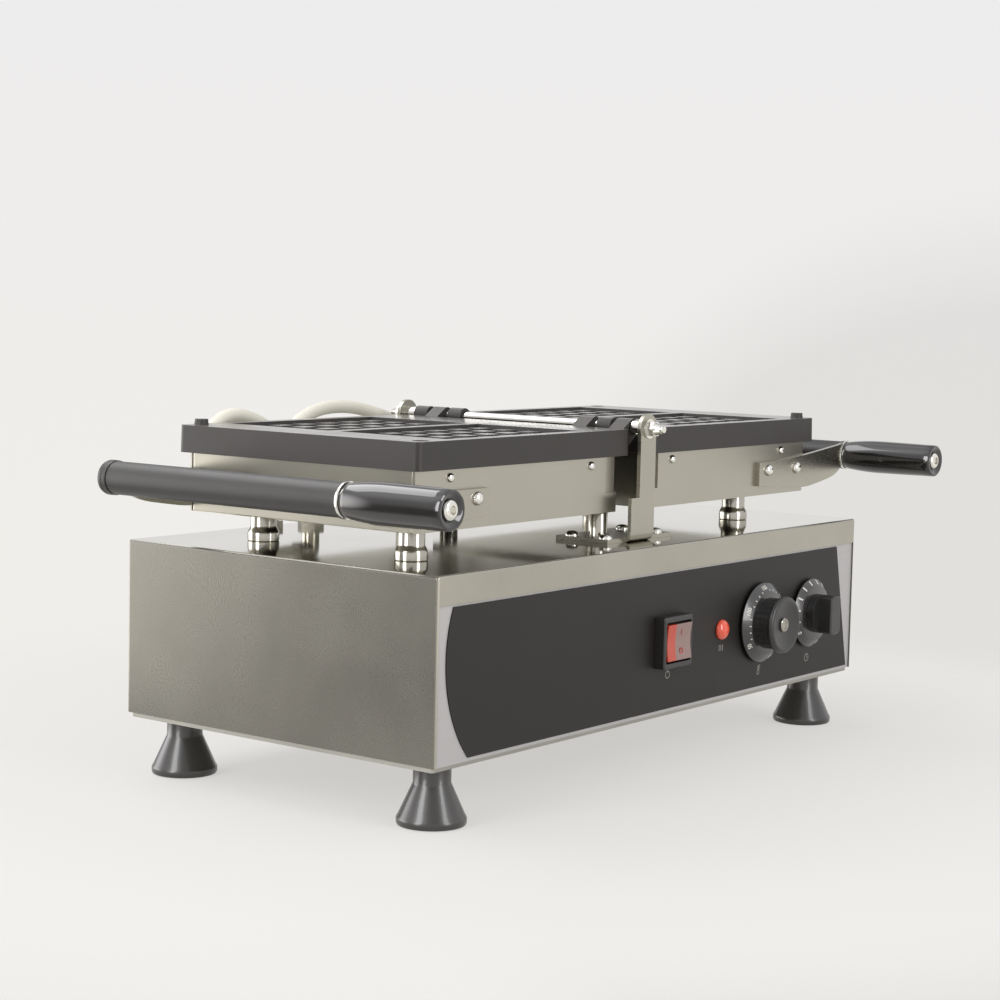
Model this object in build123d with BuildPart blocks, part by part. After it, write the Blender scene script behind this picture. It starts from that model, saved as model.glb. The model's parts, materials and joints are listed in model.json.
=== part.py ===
"""Rotating waffle maker: two hinged plate units over a steel cabinet.

Millimetres, +Z up, +Y away from the operator. The origin is at the centre of the
footprint, on the surface that the feet stand on.
"""
from math import asin, cos, radians, sin, tan
import os

from build123d import *

# Cabinet and its sheets
cabinet_width = 530.0
cabinet_depth = 274.0
cabinet_height = 120.0
sheet = 1.2
panel_sheet = 1.5
bend_radius = 2.0
lip_depth = 19.0
panel_overlap = 9.0
sheet_fit = 0.2
pan_drop = 3.0
pan_flange = 14.0
vent_pitch = 26.0
vent_length = 44.0
vent_width = 5.0
louvre_banks = (-120.0, 60.0)
louvre_pitch = 11.0
louvre_length = 56.0
louvre_width = 4.0
overlay_sheet = 0.8
overlay_gaps = (1.5, 2.4)
overlay_left = (16.7, 11.4, 33.8)
overlay_bulge = 80.0
overlay_right = (28.2, 7.2)

# Feet
foot_height = 40.5
foot_inset = 30.0
foot_inset_y = 26.0
foot_neck_radius = 12.3
foot_neck_height = 13.5
foot_rim_radius = 22.7
foot_rim_height = 5.5
foot_bore_radius = 7.0
foot_bore_depth = 24.0
foot_screw_radius = 3.0

# Rest posts and support studs on the deck
post_inset = {-1: 59.0, 1: 74.0}
post_inset_y = 66.0
post_row_shift = 5.5
post_radius = 11.0
post_neck_radius = 9.0
post_skirt_height = 5.5
post_shoulder_height = 10.0
post_height = 21.0
post_stud_radius = 2.5
rest_gap = 0.2
stud_x = 24.0
stud_y = 87.0
stud_radius = 7.0

# Hinge brackets, shaft and nuts
bracket_sheet = 3.0
bracket_foot_left = -40.0
bracket_foot_right = 40.0
bracket_foot_back = 62.0
upright_gap = 3.3
upright_bend = 2.5
tongue_left = -19.5
tongue_half = 9.5
tongue_step = 31.5
bracket_head_radius = 10.5
bolt_columns = (-34.0, 29.0)
bolt_rows = (72.0, 101.0)
bolt_radius = 2.5
bolt_head_radius = 5.0
bolt_head_height = 3.6
nut_flats = 8.0
nut_height = 4.0
shaft_radius = 4.0
shaft_play = 0.06
stud_end_radius = 3.0
spacer_radius = 5.5
spacer_gap = 0.4
washer_radius = 7.0
washer_sheet = 1.2
acorn_flats = 10.0
acorn_height = 5.0
stud_end = 124.0

# Grid plates
plate_inner = 13.5
plate_outer = 248.4
plate_overhang = 8.2
plate_thick = 18.6
plate_draft = 0.7
plate_corner = 5.0
plate_gap = 0.5
cavity_inner = 60.0
cavity_margin = 39.4
cavity_rib = 10.0
cavity_land = 10.2
cavity_floor = 14.0
cavity_draft = 8.0
nub_columns = 6
nub_rows = 4
nub_rib = 4.2
nub_height = 12.2
nub_draft = 14.0
lug_radius = 6.5
lug_root = 16.0
lug_drop = 2.4
lug_spans = ((54.0, 66.6), (86.6, 99.4), (-83.0, -71.0))
locator_inset = 12.9
locator_inset_y = 9.2
locator_radius = 5.0
locator_height = 4.0
locator_play = 0.6

# Housings under the plates
housing_height = 40.0
housing_inner = 20.0
housing_step = 5.4
housing_half_depth = 98.0
housing_sheet = 1.5
housing_corner = 2.0
cover_sheet = 1.3
cover_inner = 33.0
cover_tab_height = 14.0
cover_screw_insets = (31.5, 35.0)
cover_screw_drop = 6.0
cover_screw_radius = 1.5
cover_screw_head = 3.1
arm_bolt_insets = (59.0, 16.0)
arm_bolt_drop = 20.5
arm_bolt_head = 4.7

# Heating element and what backs it
heater_radius = 4.0
heater_gap = 0.2
heater_inset = 46.0
heater_end = 20.0
heater_tail = 6.0
heater_bend_gap = 2.5
clamp_sheet = 2.0
clamp_margin = 12.0
clamp_flange = 6.0
mat_thick = 16.0

# Handles
handle_x = 310.0
handle_drop = 33.0
arm_sheet = 3.5
arm_root_inset = 72.0
arm_end_radius = 11.6
arm_root_drop = 18.4
arm_fit = 0.1
sleeve_radius = 11.0
rod_radius = 6.0
rod_short = 18.0
ring_radius = 11.6
ring_thick = 1.0
cap_reach = 5.0
cap_radius = 8.5
grip_radius = 12.5
grip_neck_radius = 10.9
grip_belly_radius = 13.1
grip_length = 79.3
grip_dish = 2.2
grip_lip = 2.0
socket_head_radius = 6.5
socket_head_height = 3.2
socket_head_proud = 0.6
socket_flats = 5.0
socket_screw_radius = 3.0

# Controls on the front panel
control_height = 51.5
switch_x = -4.0
switch_width = 36.0
switch_tall = 37.0
switch_proud = 9.0
switch_body_depth = 24.0
rocker_width = 31.0
rocker_tall = 29.0
rocker_play = 0.4
rocker_dish = 1.4
rocker_proud = 1.4
rocker_pit = 8.0
pivot_inset = 5.0
lamp_x = 66.7
lamp_radius = 7.5
lamp_proud = 5.0
temperature_x = 121.0
dial_radius = 30.0
dial_thick = 6.0
dial_lift = 2.0
dial_hub = 15.0
grip_knob_radius = 21.5
grip_knob_height = 15.5
grip_flange = 5.5
grip_dish_depth = 3.0
knob_cap_radius = 5.4
knob_cap_height = 1.8
timer_x = 194.0
timer_dial_radius = 26.5
timer_grip_radius = 15.0
timer_grip_height = 18.0
timer_bar = 15.0
spindle_radius = 3.0
spindle_play = 0.05
bush_radius = 6.0

# Terminal block
block_place = (150.0, 70.0)
block_pitch = 12.0
block_depth = 24.0
block_height = 18.0

# Conduits and their fittings
conduit_radius = 5.0
fitting_radius = 7.5
fitting_nut = 17.0
fitting_wall = 5.0
elbow_x = -105.0
elbow_inset = 23.0
gland_x = -135.0
gland_inset = 10.0
gland_height = 14.0
elbow_rise = 18.0
elbow_reach = 16.0
port_reach = {-1: 16.0, 1: 20.0}
housing_port = {-1: -75.0, 1: 60.0}
port_rise = 19.0
port_lean = {-1: 20.0, 1: 36.87}
inlet_x = 205.0
inlet_rise = 24.0
inlet_radius = 12.0
inlet_bore = 4.0
inlet_reach = 14.0

# Derived levels, all from the sizes above
half_width = cabinet_width / 2
half_depth = cabinet_depth / 2
foot_x = half_width - foot_inset
foot_y = half_depth - foot_inset_y
post_y = half_depth - post_inset_y
deck_elbow = (elbow_x, half_depth - elbow_inset)
deck_gland = (gland_x, half_depth - gland_inset)
plate_half_depth = housing_half_depth + plate_overhang
cavity_outer = plate_outer - cavity_margin
cavity_depth_y = plate_half_depth - cavity_land - cavity_rib / 2
upright_face = plate_half_depth + upright_gap
locator_x = plate_outer - locator_inset
locator_y = plate_half_depth - locator_inset_y
housing_outer = plate_outer - housing_step
cover_screw_columns = (housing_inner + cover_screw_insets[0], housing_outer - cover_screw_insets[1])
arm_bolt_columns = [housing_outer - inset for inset in arm_bolt_insets]
arm_root = housing_outer - arm_root_inset
side_bottom = foot_height + pan_drop
deck = side_bottom + cabinet_height
housing_bottom = deck + post_height + rest_gap
plate_bottom = housing_bottom + housing_height
plate_face = plate_bottom + plate_thick
axis_z = plate_face + plate_gap / 2
handle_z = axis_z - handle_drop
control_z = side_bottom + control_height
panel_face = half_depth - sheet
inner_half_width = half_width - sheet - sheet_fit
cover_face = housing_half_depth + cover_sheet
arm_face = cover_face + arm_sheet
grip_start = arm_face + ring_thick
grip_end = grip_start + grip_length
front_reach = grip_end + socket_head_proud
rear_reach = half_depth + inlet_reach
cabinet_y = (front_reach - rear_reach) / 2

os.makedirs("parts", exist_ok=True)
made = {}


def keep(piece, label):
    """Label one finished sub-part and remember it for export."""
    piece.label = label
    made[label] = piece


def level(z):
    """Horizontal plane at height z, centred on the cabinet."""
    return Plane(origin=(0, cabinet_y, z))


def front(y):
    """Upright plane y in front of the cabinet's centre, seen from the operator."""
    return Plane(origin=(0, cabinet_y - y, 0), x_dir=(1, 0, 0), z_dir=(0, -1, 0))


def half_level(side, z):
    """Horizontal plane of one plate unit; its x runs outwards from the hinge."""
    return Plane(origin=(0, cabinet_y, z), x_dir=(side, 0, 0))


def half_front(side, y):
    """Upright plane of one plate unit, at its own y; it faces its own -y."""
    origin = (0, cabinet_y + side * y, 0)
    return Plane(origin=origin, x_dir=(side, 0, 0), z_dir=(0, -side, 0))


def dome(radius, base, height):
    """Spherical cap over an axis, from its rim down to the middle of the crown."""
    ball = (radius**2 + height**2) / (2 * height)
    half = asin(radius / ball) / 2
    top = base + height
    ThreePointArc((radius, base), (ball * sin(half), top - ball + ball * cos(half)), (0, top))


def corners():
    """The four mirrored sign pairs."""
    return [(a, b) for a in (-1, 1) for b in (-1, 1)]


post_spots = [
    (a * (half_width - post_inset[a]) + b * post_row_shift, b * post_y) for a, b in corners()
]

# Cabinet cover: deck, sides and the folded lips, in one sheet
with BuildPart() as cabinet_cover:
    with BuildSketch(level(side_bottom)):
        Rectangle(cabinet_width, cabinet_depth)
    extrude(amount=cabinet_height)
    fillet(cabinet_cover.edges().filter_by(Axis.Z), bend_radius)
    fillet(cabinet_cover.faces().sort_by(Axis.Z)[-1].edges(), bend_radius)
    offset(amount=-sheet, openings=cabinet_cover.faces().sort_by(Axis.Z)[0])
    with BuildSketch(front(0)):
        with Locations((0, side_bottom)):
            Rectangle(cabinet_width - 2 * bend_radius, 2 * (cabinet_height - lip_depth))
    extrude(amount=cabinet_depth, both=True, mode=Mode.SUBTRACT)
    with BuildSketch(level(deck)):
        for way in (-1, 1):
            with Locations([(way * x, -way * y) for x in bolt_columns for y in bolt_rows]):
                Circle(bolt_radius + sheet_fit)
        with Locations(post_spots):
            Circle(post_stud_radius + sheet_fit)
        with Locations(deck_elbow, deck_gland):
            Circle(fitting_radius)
    extrude(amount=-2 * sheet, mode=Mode.SUBTRACT)
keep(cabinet_cover.part, "cabinet_cover")

# Front panel, with the holes that the controls pass through
panel_height = cabinet_height - lip_depth + panel_overlap
panel_width = 2 * (half_width - bend_radius)
with BuildPart() as front_panel:
    with BuildSketch(front(panel_face)):
        with Locations((0, side_bottom + panel_height / 2)):
            Rectangle(panel_width, panel_height)
        with Locations((switch_x, control_z)):
            Rectangle(switch_width - 6, switch_tall - 6, mode=Mode.SUBTRACT)
        with Locations((lamp_x, control_z)):
            Circle(lamp_radius - 2, mode=Mode.SUBTRACT)
        with Locations((temperature_x, control_z), (timer_x, control_z)):
            Circle(bush_radius, mode=Mode.SUBTRACT)
    extrude(amount=-panel_sheet)
keep(front_panel.part, "front_panel")

# Control overlay: a dark film with bowed ends
overlay_top = side_bottom + cabinet_height - lip_depth - overlay_gaps[0]
overlay_bottom = side_bottom + overlay_gaps[1]
left_top = (-half_width + overlay_left[0], overlay_top)
left_bulge = (-half_width + overlay_left[1], side_bottom + overlay_bulge)
left_bottom = (-half_width + overlay_left[2], overlay_bottom)
right_top = (half_width - overlay_right[0], overlay_top)
right_bottom = (half_width - overlay_right[1], overlay_bottom)
with BuildPart() as control_overlay:
    with BuildSketch(front(panel_face)):
        with BuildLine():
            Polyline(left_top, right_top, right_bottom, left_bottom)
            ThreePointArc(left_bottom, left_bulge, left_top)
        make_face()
        with Locations((switch_x, control_z)):
            Rectangle(switch_width - 6, switch_tall - 6, mode=Mode.SUBTRACT)
        with Locations((lamp_x, control_z)):
            Circle(lamp_radius - 2, mode=Mode.SUBTRACT)
        with Locations((temperature_x, control_z), (timer_x, control_z)):
            Circle(bush_radius, mode=Mode.SUBTRACT)
    extrude(amount=overlay_sheet)
keep(control_overlay.part, "control_overlay")

# Bottom pan with an upturned flange and cooling slots
pan_depth = 2 * (panel_face - panel_sheet - sheet_fit)
with BuildPart() as bottom_pan:
    with BuildSketch(level(foot_height)):
        Rectangle(2 * inner_half_width, pan_depth)
    extrude(amount=pan_drop + pan_flange)
    fillet(bottom_pan.edges().filter_by(Axis.Z), bend_radius)
    offset(amount=-sheet, openings=bottom_pan.faces().sort_by(Axis.Z)[-1])
    with BuildSketch(level(foot_height)):
        with GridLocations(vent_pitch, vent_length + 16, 12, 2):
            SlotOverall(vent_length, vent_width, rotation=90)
        with Locations([(a * foot_x, b * foot_y) for a, b in corners()]):
            Circle(foot_screw_radius + sheet_fit)
    extrude(amount=sheet, mode=Mode.SUBTRACT)
keep(bottom_pan.part, "bottom_pan")

# Rear panel with two banks of cooling louvres and the hole for the mains inlet
with BuildPart() as rear_panel:
    with BuildSketch(front(-panel_face)):
        with Locations((0, side_bottom + panel_height / 2)):
            Rectangle(panel_width, panel_height)
        with Locations([(x, side_bottom + cabinet_height / 2) for x in louvre_banks]):
            with GridLocations(louvre_pitch, 1, 10, 1):
                SlotOverall(louvre_length, louvre_width, rotation=90, mode=Mode.SUBTRACT)
        with Locations((inlet_x, side_bottom + inlet_rise)):
            Circle(inlet_bore + 2.5, mode=Mode.SUBTRACT)
    extrude(amount=panel_sheet)
keep(rear_panel.part, "rear_panel")

# Mains inlet bush on the rear panel
inlet_y = cabinet_y + panel_face
inlet_z = side_bottom + inlet_rise
with BuildPart() as mains_inlet:
    with BuildSketch(Plane.XY):
        with BuildLine():
            Polyline(
                (inlet_bore, -8),
                (inlet_bore + 2.3, -8),
                (inlet_bore + 2.3, 0),
                (inlet_radius, 0),
                (inlet_radius, 4),
                (inlet_radius - 2, 6),
                (inlet_bore + 2.5, 6),
                (inlet_bore + 1.5, rear_reach - panel_face),
                (inlet_bore, rear_reach - panel_face),
                close=True,
            )
        make_face()
    revolve(axis=Axis.Y)
keep(mains_inlet.part.moved(Location((inlet_x, inlet_y, inlet_z))), "mains_inlet")

# Feet: turned neck, cone and rim, bored from below for the screw
with BuildPart() as feet:
    with BuildSketch(Plane.XZ):
        with BuildLine():
            Polyline(
                (foot_screw_radius + sheet_fit, foot_height),
                (foot_neck_radius, foot_height),
                (foot_neck_radius, foot_height - foot_neck_height),
                (foot_rim_radius - 0.4, foot_rim_height),
                (foot_rim_radius, foot_rim_height - 1),
                (foot_rim_radius, 1),
                (foot_rim_radius - 1, 0),
                (foot_bore_radius, 0),
                (foot_bore_radius, foot_bore_depth),
                (foot_screw_radius + sheet_fit, foot_bore_depth),
                close=True,
            )
        make_face()
    revolve(axis=Axis.Z)
foot_places = [Location((a * foot_x, cabinet_y + b * foot_y, 0)) for a, b in corners()]
keep(Compound(children=[feet.part.solid().moved(place) for place in foot_places]), "feet")

# Foot screws: pan head in the foot's bore, nut on the pan's floor
screw_top = foot_height + sheet + nut_height + 2
with BuildPart() as foot_screws:
    with BuildSketch(Plane.XZ):
        with BuildLine():
            Polyline(
                (0, foot_bore_depth - 4),
                (foot_bore_radius - 1.5, foot_bore_depth - 4),
                (foot_bore_radius - 1.2, foot_bore_depth),
                (foot_screw_radius, foot_bore_depth),
                (foot_screw_radius, screw_top),
                (0, screw_top),
                close=True,
            )
        make_face()
    revolve(axis=Axis.Z)
    with BuildSketch(Plane.XY.offset(foot_height + sheet)):
        RegularPolygon(foot_bore_radius - 1.5, 6, major_radius=False)
    extrude(amount=nut_height)
keep(Compound(children=[foot_screws.part.solid().moved(p) for p in foot_places]), "foot_screws")

# Rest posts: bottle-shaped, each with a stud and nut through the deck
with BuildPart() as rest_posts:
    with BuildSketch(Plane.XZ):
        with BuildLine():
            Line((0, 0), (post_radius - 0.6, 0))
            Line((post_radius - 0.6, 0), (post_radius, 0.6))
            Line((post_radius, 0.6), (post_radius, post_skirt_height))
            Spline(
                (post_radius, post_skirt_height),
                (post_neck_radius, post_shoulder_height),
                tangents=((0, 1), (0, 1)),
            )
            Line((post_neck_radius, post_shoulder_height), (post_neck_radius, post_height - 1))
            Line((post_neck_radius, post_height - 1), (post_neck_radius - 1, post_height))
            Line((post_neck_radius - 1, post_height), (0, post_height))
            Line((0, post_height), (0, 0))
        make_face()
    revolve(axis=Axis.Z)
    with BuildSketch(Plane.XY):
        Circle(post_stud_radius)
    extrude(amount=-(sheet + nut_height + 2))
    with BuildSketch(Plane.XY.offset(-sheet)):
        RegularPolygon(nut_flats / 2, 6, major_radius=False)
    extrude(amount=-nut_height)
post_places = [Location((x, cabinet_y + y, deck)) for x, y in post_spots]
keep(Compound(children=[rest_posts.part.solid().moved(p) for p in post_places]), "rest_posts")

# Hinge brackets: a folded sheet with a narrow stepped tongue and a round head
bend_outer = upright_bend + bracket_sheet
foot_front = upright_face - upright_bend
side_view = Plane(origin=(tongue_left, cabinet_y, deck), x_dir=(0, -1, 0), z_dir=(-1, 0, 0))
with BuildPart() as bracket:
    with BuildSketch(level(deck)):
        with BuildLine():
            Polyline(
                (bracket_foot_left, -bracket_foot_back),
                (bracket_foot_right, -bracket_foot_back),
                (bracket_foot_right, -foot_front),
                (bracket_foot_left, -foot_front),
                close=True,
            )
        make_face()
        with Locations([(x, -y) for x in bolt_columns for y in bolt_rows]):
            Circle(bolt_radius + sheet_fit, mode=Mode.SUBTRACT)
    extrude(amount=bracket_sheet)
    with BuildSketch(side_view):
        with BuildLine():
            Line((foot_front, 0), (foot_front, bracket_sheet))
            CenterArc((foot_front, bend_outer), upright_bend, 270, 90)
            Line((upright_face, bend_outer), (upright_face + bracket_sheet, bend_outer))
            CenterArc((foot_front, bend_outer), bend_outer, 270, 90)
        make_face()
    extrude(amount=-(tongue_half - tongue_left))
    with BuildSketch(front(upright_face)):
        with BuildLine():
            Polyline(
                (tongue_left, deck + bend_outer),
                (tongue_half, deck + bend_outer),
                (tongue_half, axis_z),
                (-tongue_half, axis_z),
                (-tongue_half, deck + tongue_step),
                (tongue_left, deck + tongue_step),
                close=True,
            )
        make_face()
        with Locations((0, axis_z)):
            Circle(bracket_head_radius)
            Circle(stud_end_radius + shaft_play, mode=Mode.SUBTRACT)
    extrude(amount=bracket_sheet)
turned = Location((0, 2 * cabinet_y, 0), (0, 0, 180))
keep(Compound(children=[bracket.part.solid(), bracket.part.solid().moved(turned)]), "hinge_brackets")

# Bracket bolts: dome heads on the bracket feet, nuts under the deck
with BuildPart() as bracket_bolt:
    with BuildSketch(Plane.XZ):
        with BuildLine():
            Line((0, 0), (bolt_head_radius, 0))
            Line((bolt_head_radius, 0), (bolt_head_radius, 0.6))
            dome(bolt_head_radius, 0.6, bolt_head_height - 0.6)
            Line((0, bolt_head_height), (0, 0))
        make_face()
    revolve(axis=Axis.Z)
    with BuildSketch(Plane.XY):
        Circle(bolt_radius)
    extrude(amount=-(bracket_sheet + sheet + nut_height + 2))
    with BuildSketch(Plane.XY.offset(-bracket_sheet - sheet)):
        RegularPolygon(nut_flats / 2, 6, major_radius=False)
    extrude(amount=-nut_height)
bolt_places = [
    Location((way * x, cabinet_y - way * y, deck + bracket_sheet))
    for way in (1, -1)
    for x in bolt_columns
    for y in bolt_rows
]
keep(Compound(children=[bracket_bolt.part.solid().moved(p) for p in bolt_places]), "bracket_bolts")

# Support studs on the bracket feet
with BuildPart() as support_stud:
    with BuildSketch(level(deck + bracket_sheet)):
        with Locations((-stud_x, -stud_y), (stud_x, stud_y)):
            Circle(stud_radius)
    extrude(amount=post_height - bracket_sheet)
    chamfer(support_stud.faces().filter_by(Axis.Z).group_by(Axis.Z)[-1].edges(), 0.8)
keep(support_stud.part, "support_studs")

# Hinge shaft: full-size between the brackets, stepped down to its threaded ends
with BuildPart() as hinge_shaft:
    with BuildSketch(front(0)):
        with Locations((0, axis_z)):
            Circle(shaft_radius)
    extrude(amount=upright_face, both=True)
    with BuildSketch(front(0)):
        with Locations((0, axis_z)):
            Circle(stud_end_radius)
    extrude(amount=stud_end, both=True)
    chamfer(hinge_shaft.faces().sort_by(Axis.Y)[0].edges(), 0.6)
    chamfer(hinge_shaft.faces().sort_by(Axis.Y)[-1].edges(), 0.6)
keep(hinge_shaft.part, "hinge_shaft")

# Spacers between the outer lugs and the brackets
outer_lug = max(end for span in lug_spans for end in span)
with BuildPart() as shaft_spacers:
    for side in (-1, 1):
        with BuildSketch(half_front(side, outer_lug + spacer_gap)):
            with Locations((0, axis_z)):
                Circle(spacer_radius)
                Circle(shaft_radius + shaft_play, mode=Mode.SUBTRACT)
        extrude(amount=-(upright_face - outer_lug - spacer_gap))
keep(shaft_spacers.part, "shaft_spacers")

# Washers and acorn nuts outside the brackets
nut_seat = upright_face + bracket_sheet
with BuildPart() as shaft_nuts:
    for side in (-1, 1):
        with BuildSketch(half_front(side, nut_seat)):
            with Locations((0, axis_z)):
                Circle(washer_radius)
        extrude(amount=-washer_sheet)
        with BuildSketch(half_front(side, nut_seat + washer_sheet)):
            with Locations((0, axis_z)):
                RegularPolygon(acorn_flats / 2, 6, major_radius=False)
        extrude(amount=-acorn_height)
        with BuildSketch(half_front(side, nut_seat + washer_sheet + acorn_height)):
            with Locations((0, axis_z)):
                Circle(acorn_flats / 2 - 0.4)
        extrude(amount=-(stud_end + 1.5 - nut_seat - washer_sheet - acorn_height), taper=18)
    with BuildSketch(front(0)):
        with Locations((0, axis_z)):
            Circle(stud_end_radius + shaft_play)
    extrude(amount=stud_end + 0.1, both=True, mode=Mode.SUBTRACT)
keep(shaft_nuts.part, "shaft_nuts")


def grid_plate(side):
    """One cast grid plate: land, two drafted cavities of nubs, three hinge lugs."""
    length = plate_outer - plate_inner
    middle = (plate_outer + plate_inner) / 2
    cavity_length = cavity_outer - cavity_inner
    cavity_middle = (cavity_outer + cavity_inner) / 2
    cavity_y = (cavity_depth_y + cavity_rib) / 2
    shrink = 2 * cavity_floor * tan(radians(cavity_draft))
    pitch = ((cavity_length - shrink) / nub_columns, (cavity_depth_y - shrink) / nub_rows)
    floor = half_level(side, plate_face - cavity_floor)
    with BuildPart() as plate:
        for z, grow in ((plate_bottom, plate_draft), (plate_face, 0)):
            with BuildSketch(half_level(side, z)):
                with Locations((middle, 0)):
                    RectangleRounded(
                        length + grow, 2 * (plate_half_depth - plate_draft / 2) + grow, plate_corner
                    )
        loft(ruled=True)
        with BuildSketch(floor):
            with Locations((cavity_middle, cavity_y), (cavity_middle, -cavity_y)):
                Rectangle(cavity_length - shrink, cavity_depth_y - shrink)
        extrude(amount=cavity_floor, taper=-cavity_draft, mode=Mode.SUBTRACT)
        with BuildSketch(floor):
            with Locations((cavity_middle, cavity_y), (cavity_middle, -cavity_y)):
                with GridLocations(pitch[0], pitch[1], nub_columns, nub_rows):
                    Rectangle(pitch[0] - nub_rib, pitch[1] - nub_rib)
        extrude(amount=nub_height, taper=nub_draft)
        for near, far in lug_spans:
            with BuildSketch(half_front(side, max(near, far))):
                with Locations((0, axis_z)):
                    Circle(lug_radius)
                with Locations((plate_inner + 2, plate_face - lug_drop - lug_root / 2)):
                    Rectangle(2, lug_root)
                make_hull()
            extrude(amount=abs(far - near))
        with BuildSketch(half_front(side, plate_half_depth)):
            with Locations((0, axis_z)):
                Circle(shaft_radius + shaft_play)
        extrude(amount=2 * plate_half_depth, mode=Mode.SUBTRACT)
        with BuildSketch(half_level(side, plate_face)):
            with Locations((locator_x, -locator_y)):
                Circle(locator_radius)
        extrude(amount=locator_height, taper=8)
        with BuildSketch(half_level(side, plate_face)):
            with Locations((locator_x, locator_y)):
                Circle(locator_radius + locator_play)
        extrude(amount=-(locator_height + locator_play), mode=Mode.SUBTRACT)
    return plate.part


def screw_pins(side):
    """Pins to cut the screw and bolt holes through both long walls of a unit."""
    with BuildPart() as pins:
        with BuildSketch(front(0)):
            with Locations([(side * x, plate_bottom - cover_screw_drop) for x in cover_screw_columns]):
                Circle(cover_screw_radius + sheet_fit)
            with Locations([(side * x, plate_bottom - arm_bolt_drop) for x in arm_bolt_columns]):
                Circle(bolt_radius + sheet_fit)
        extrude(amount=cabinet_depth, both=True)
    return pins.part


def housing(side):
    """Sheet tray under one grid plate, with bolt holes and the conduit port."""
    length = housing_outer - housing_inner
    middle = (housing_outer + housing_inner) / 2
    with BuildPart() as tray:
        with BuildSketch(half_level(side, housing_bottom)):
            with Locations((middle, 0)):
                Rectangle(length, 2 * housing_half_depth)
        extrude(amount=housing_height)
        fillet(tray.edges().filter_by(Axis.Z), housing_corner)
        fillet(tray.faces().sort_by(Axis.Z)[0].edges(), 1)
        offset(amount=-housing_sheet, openings=tray.faces().sort_by(Axis.Z)[-1])
        add(screw_pins(side), mode=Mode.SUBTRACT)
        with BuildSketch(front(0)):
            with Locations((housing_port[side], housing_bottom + port_rise)):
                Circle(fitting_radius - fitting_wall / 2)
        extrude(amount=-cabinet_depth, mode=Mode.SUBTRACT)
    return tray.part


def housing_covers(side):
    """Front and rear trim sheets with a low tab at the hinge end."""
    with BuildPart() as covers:
        for way in (-1, 1):
            with BuildSketch(front(way * cover_face)):
                with BuildLine():
                    Polyline(
                        (side * housing_inner, housing_bottom),
                        (side * housing_outer, housing_bottom),
                        (side * housing_outer, plate_bottom),
                        (side * cover_inner, plate_bottom),
                        (side * cover_inner, housing_bottom + cover_tab_height),
                        (side * housing_inner, housing_bottom + cover_tab_height),
                        close=True,
                    )
                make_face()
            extrude(amount=-way * cover_sheet)
        add(screw_pins(side), mode=Mode.SUBTRACT)
        with BuildSketch(front(0)):
            with Locations((housing_port[side], housing_bottom + port_rise)):
                Circle(fitting_nut / 2 + 1.5)
        extrude(amount=-cabinet_depth, mode=Mode.SUBTRACT)
    return covers.part


def housing_screws(side):
    """Dome screws of the covers and dome bolts of the arms, with their nuts."""
    small = (cover_screw_drop, cover_face, cover_screw_radius, cover_screw_head)
    large = (arm_bolt_drop, arm_face, bolt_radius, arm_bolt_head)
    seats = [(x, *small) for x in cover_screw_columns] + [(x, *large) for x in arm_bolt_columns]
    solids = []
    for x, drop, seat, radius, head in seats:
        inner = housing_half_depth - housing_sheet
        with BuildPart() as screw:
            with BuildSketch(Plane.XZ):
                with BuildLine():
                    Line((0, 0), (head, 0))
                    Line((head, 0), (head, 0.5))
                    dome(head, 0.5, head * 0.75 - 0.5)
                    Line((0, head * 0.75), (0, 0))
                make_face()
            revolve(axis=Axis.Z)
            with BuildSketch(Plane.XY):
                Circle(radius)
            extrude(amount=-(seat - inner + 2 * radius + 1))
            with BuildSketch(Plane.XY.offset(inner - seat)):
                RegularPolygon(1.8 * radius, 6, major_radius=False)
            extrude(amount=-1.6 * radius)
        for way, lean in ((-1, 90), (1, -90)):
            spot = (side * x, cabinet_y + way * seat, plate_bottom - drop)
            solids.append(screw.part.solid().moved(Location(spot, (lean, 0, 0))))
    return Compound(children=solids)


def heater(side):
    """Tubular element bent into four runs under the plate."""
    z = plate_bottom - heater_gap - heater_radius
    run_gap = (housing_outer - housing_inner - heater_inset - heater_end * 2 - 1) / 3
    a, b, c, d = [housing_inner + heater_inset + i * run_gap for i in range(4)]
    coil_radius = run_gap / 2 - heater_bend_gap
    turn_y = housing_half_depth - heater_end
    tail_y = housing_half_depth - heater_tail
    with BuildPart() as element:
        with BuildLine(half_level(side, z)) as run:
            FilletPolyline(
                (a, tail_y),
                (a, -turn_y),
                (b, -turn_y),
                (b, turn_y),
                (c, turn_y),
                (c, -turn_y),
                (d, -turn_y),
                (d, tail_y),
                radius=coil_radius,
            )
        with BuildSketch(Plane(origin=run.line @ 0, z_dir=run.line % 0)):
            Circle(heater_radius)
        sweep()
    return element.part


def clamp_plate(side):
    """Flanged plate that presses the element against the casting."""
    z = plate_bottom - 2 * heater_gap - 2 * heater_radius
    middle = (housing_outer + housing_inner) / 2
    length = housing_outer - housing_inner - 2 * (housing_sheet + clamp_margin)
    depth = 2 * (housing_half_depth - housing_sheet - clamp_margin)
    with BuildPart() as clamp:
        with BuildSketch(half_level(side, z)):
            with Locations((middle, 0)):
                RectangleRounded(length, depth, 6)
        extrude(amount=-clamp_flange)
        offset(amount=-clamp_sheet, openings=clamp.faces().sort_by(Axis.Z)[0])
    return clamp.part


def insulation(side):
    """Mineral mat in the floor of the housing, below the clamp plate."""
    middle = (housing_outer + housing_inner) / 2
    length = housing_outer - housing_inner - 2 * (housing_sheet + 1)
    with BuildPart() as mat:
        with BuildSketch(half_level(side, housing_bottom + housing_sheet)):
            with Locations((middle, 0)):
                RectangleRounded(length, 2 * (housing_half_depth - housing_sheet - 10), 4)
        extrude(amount=mat_thick)
    return mat.part


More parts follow.
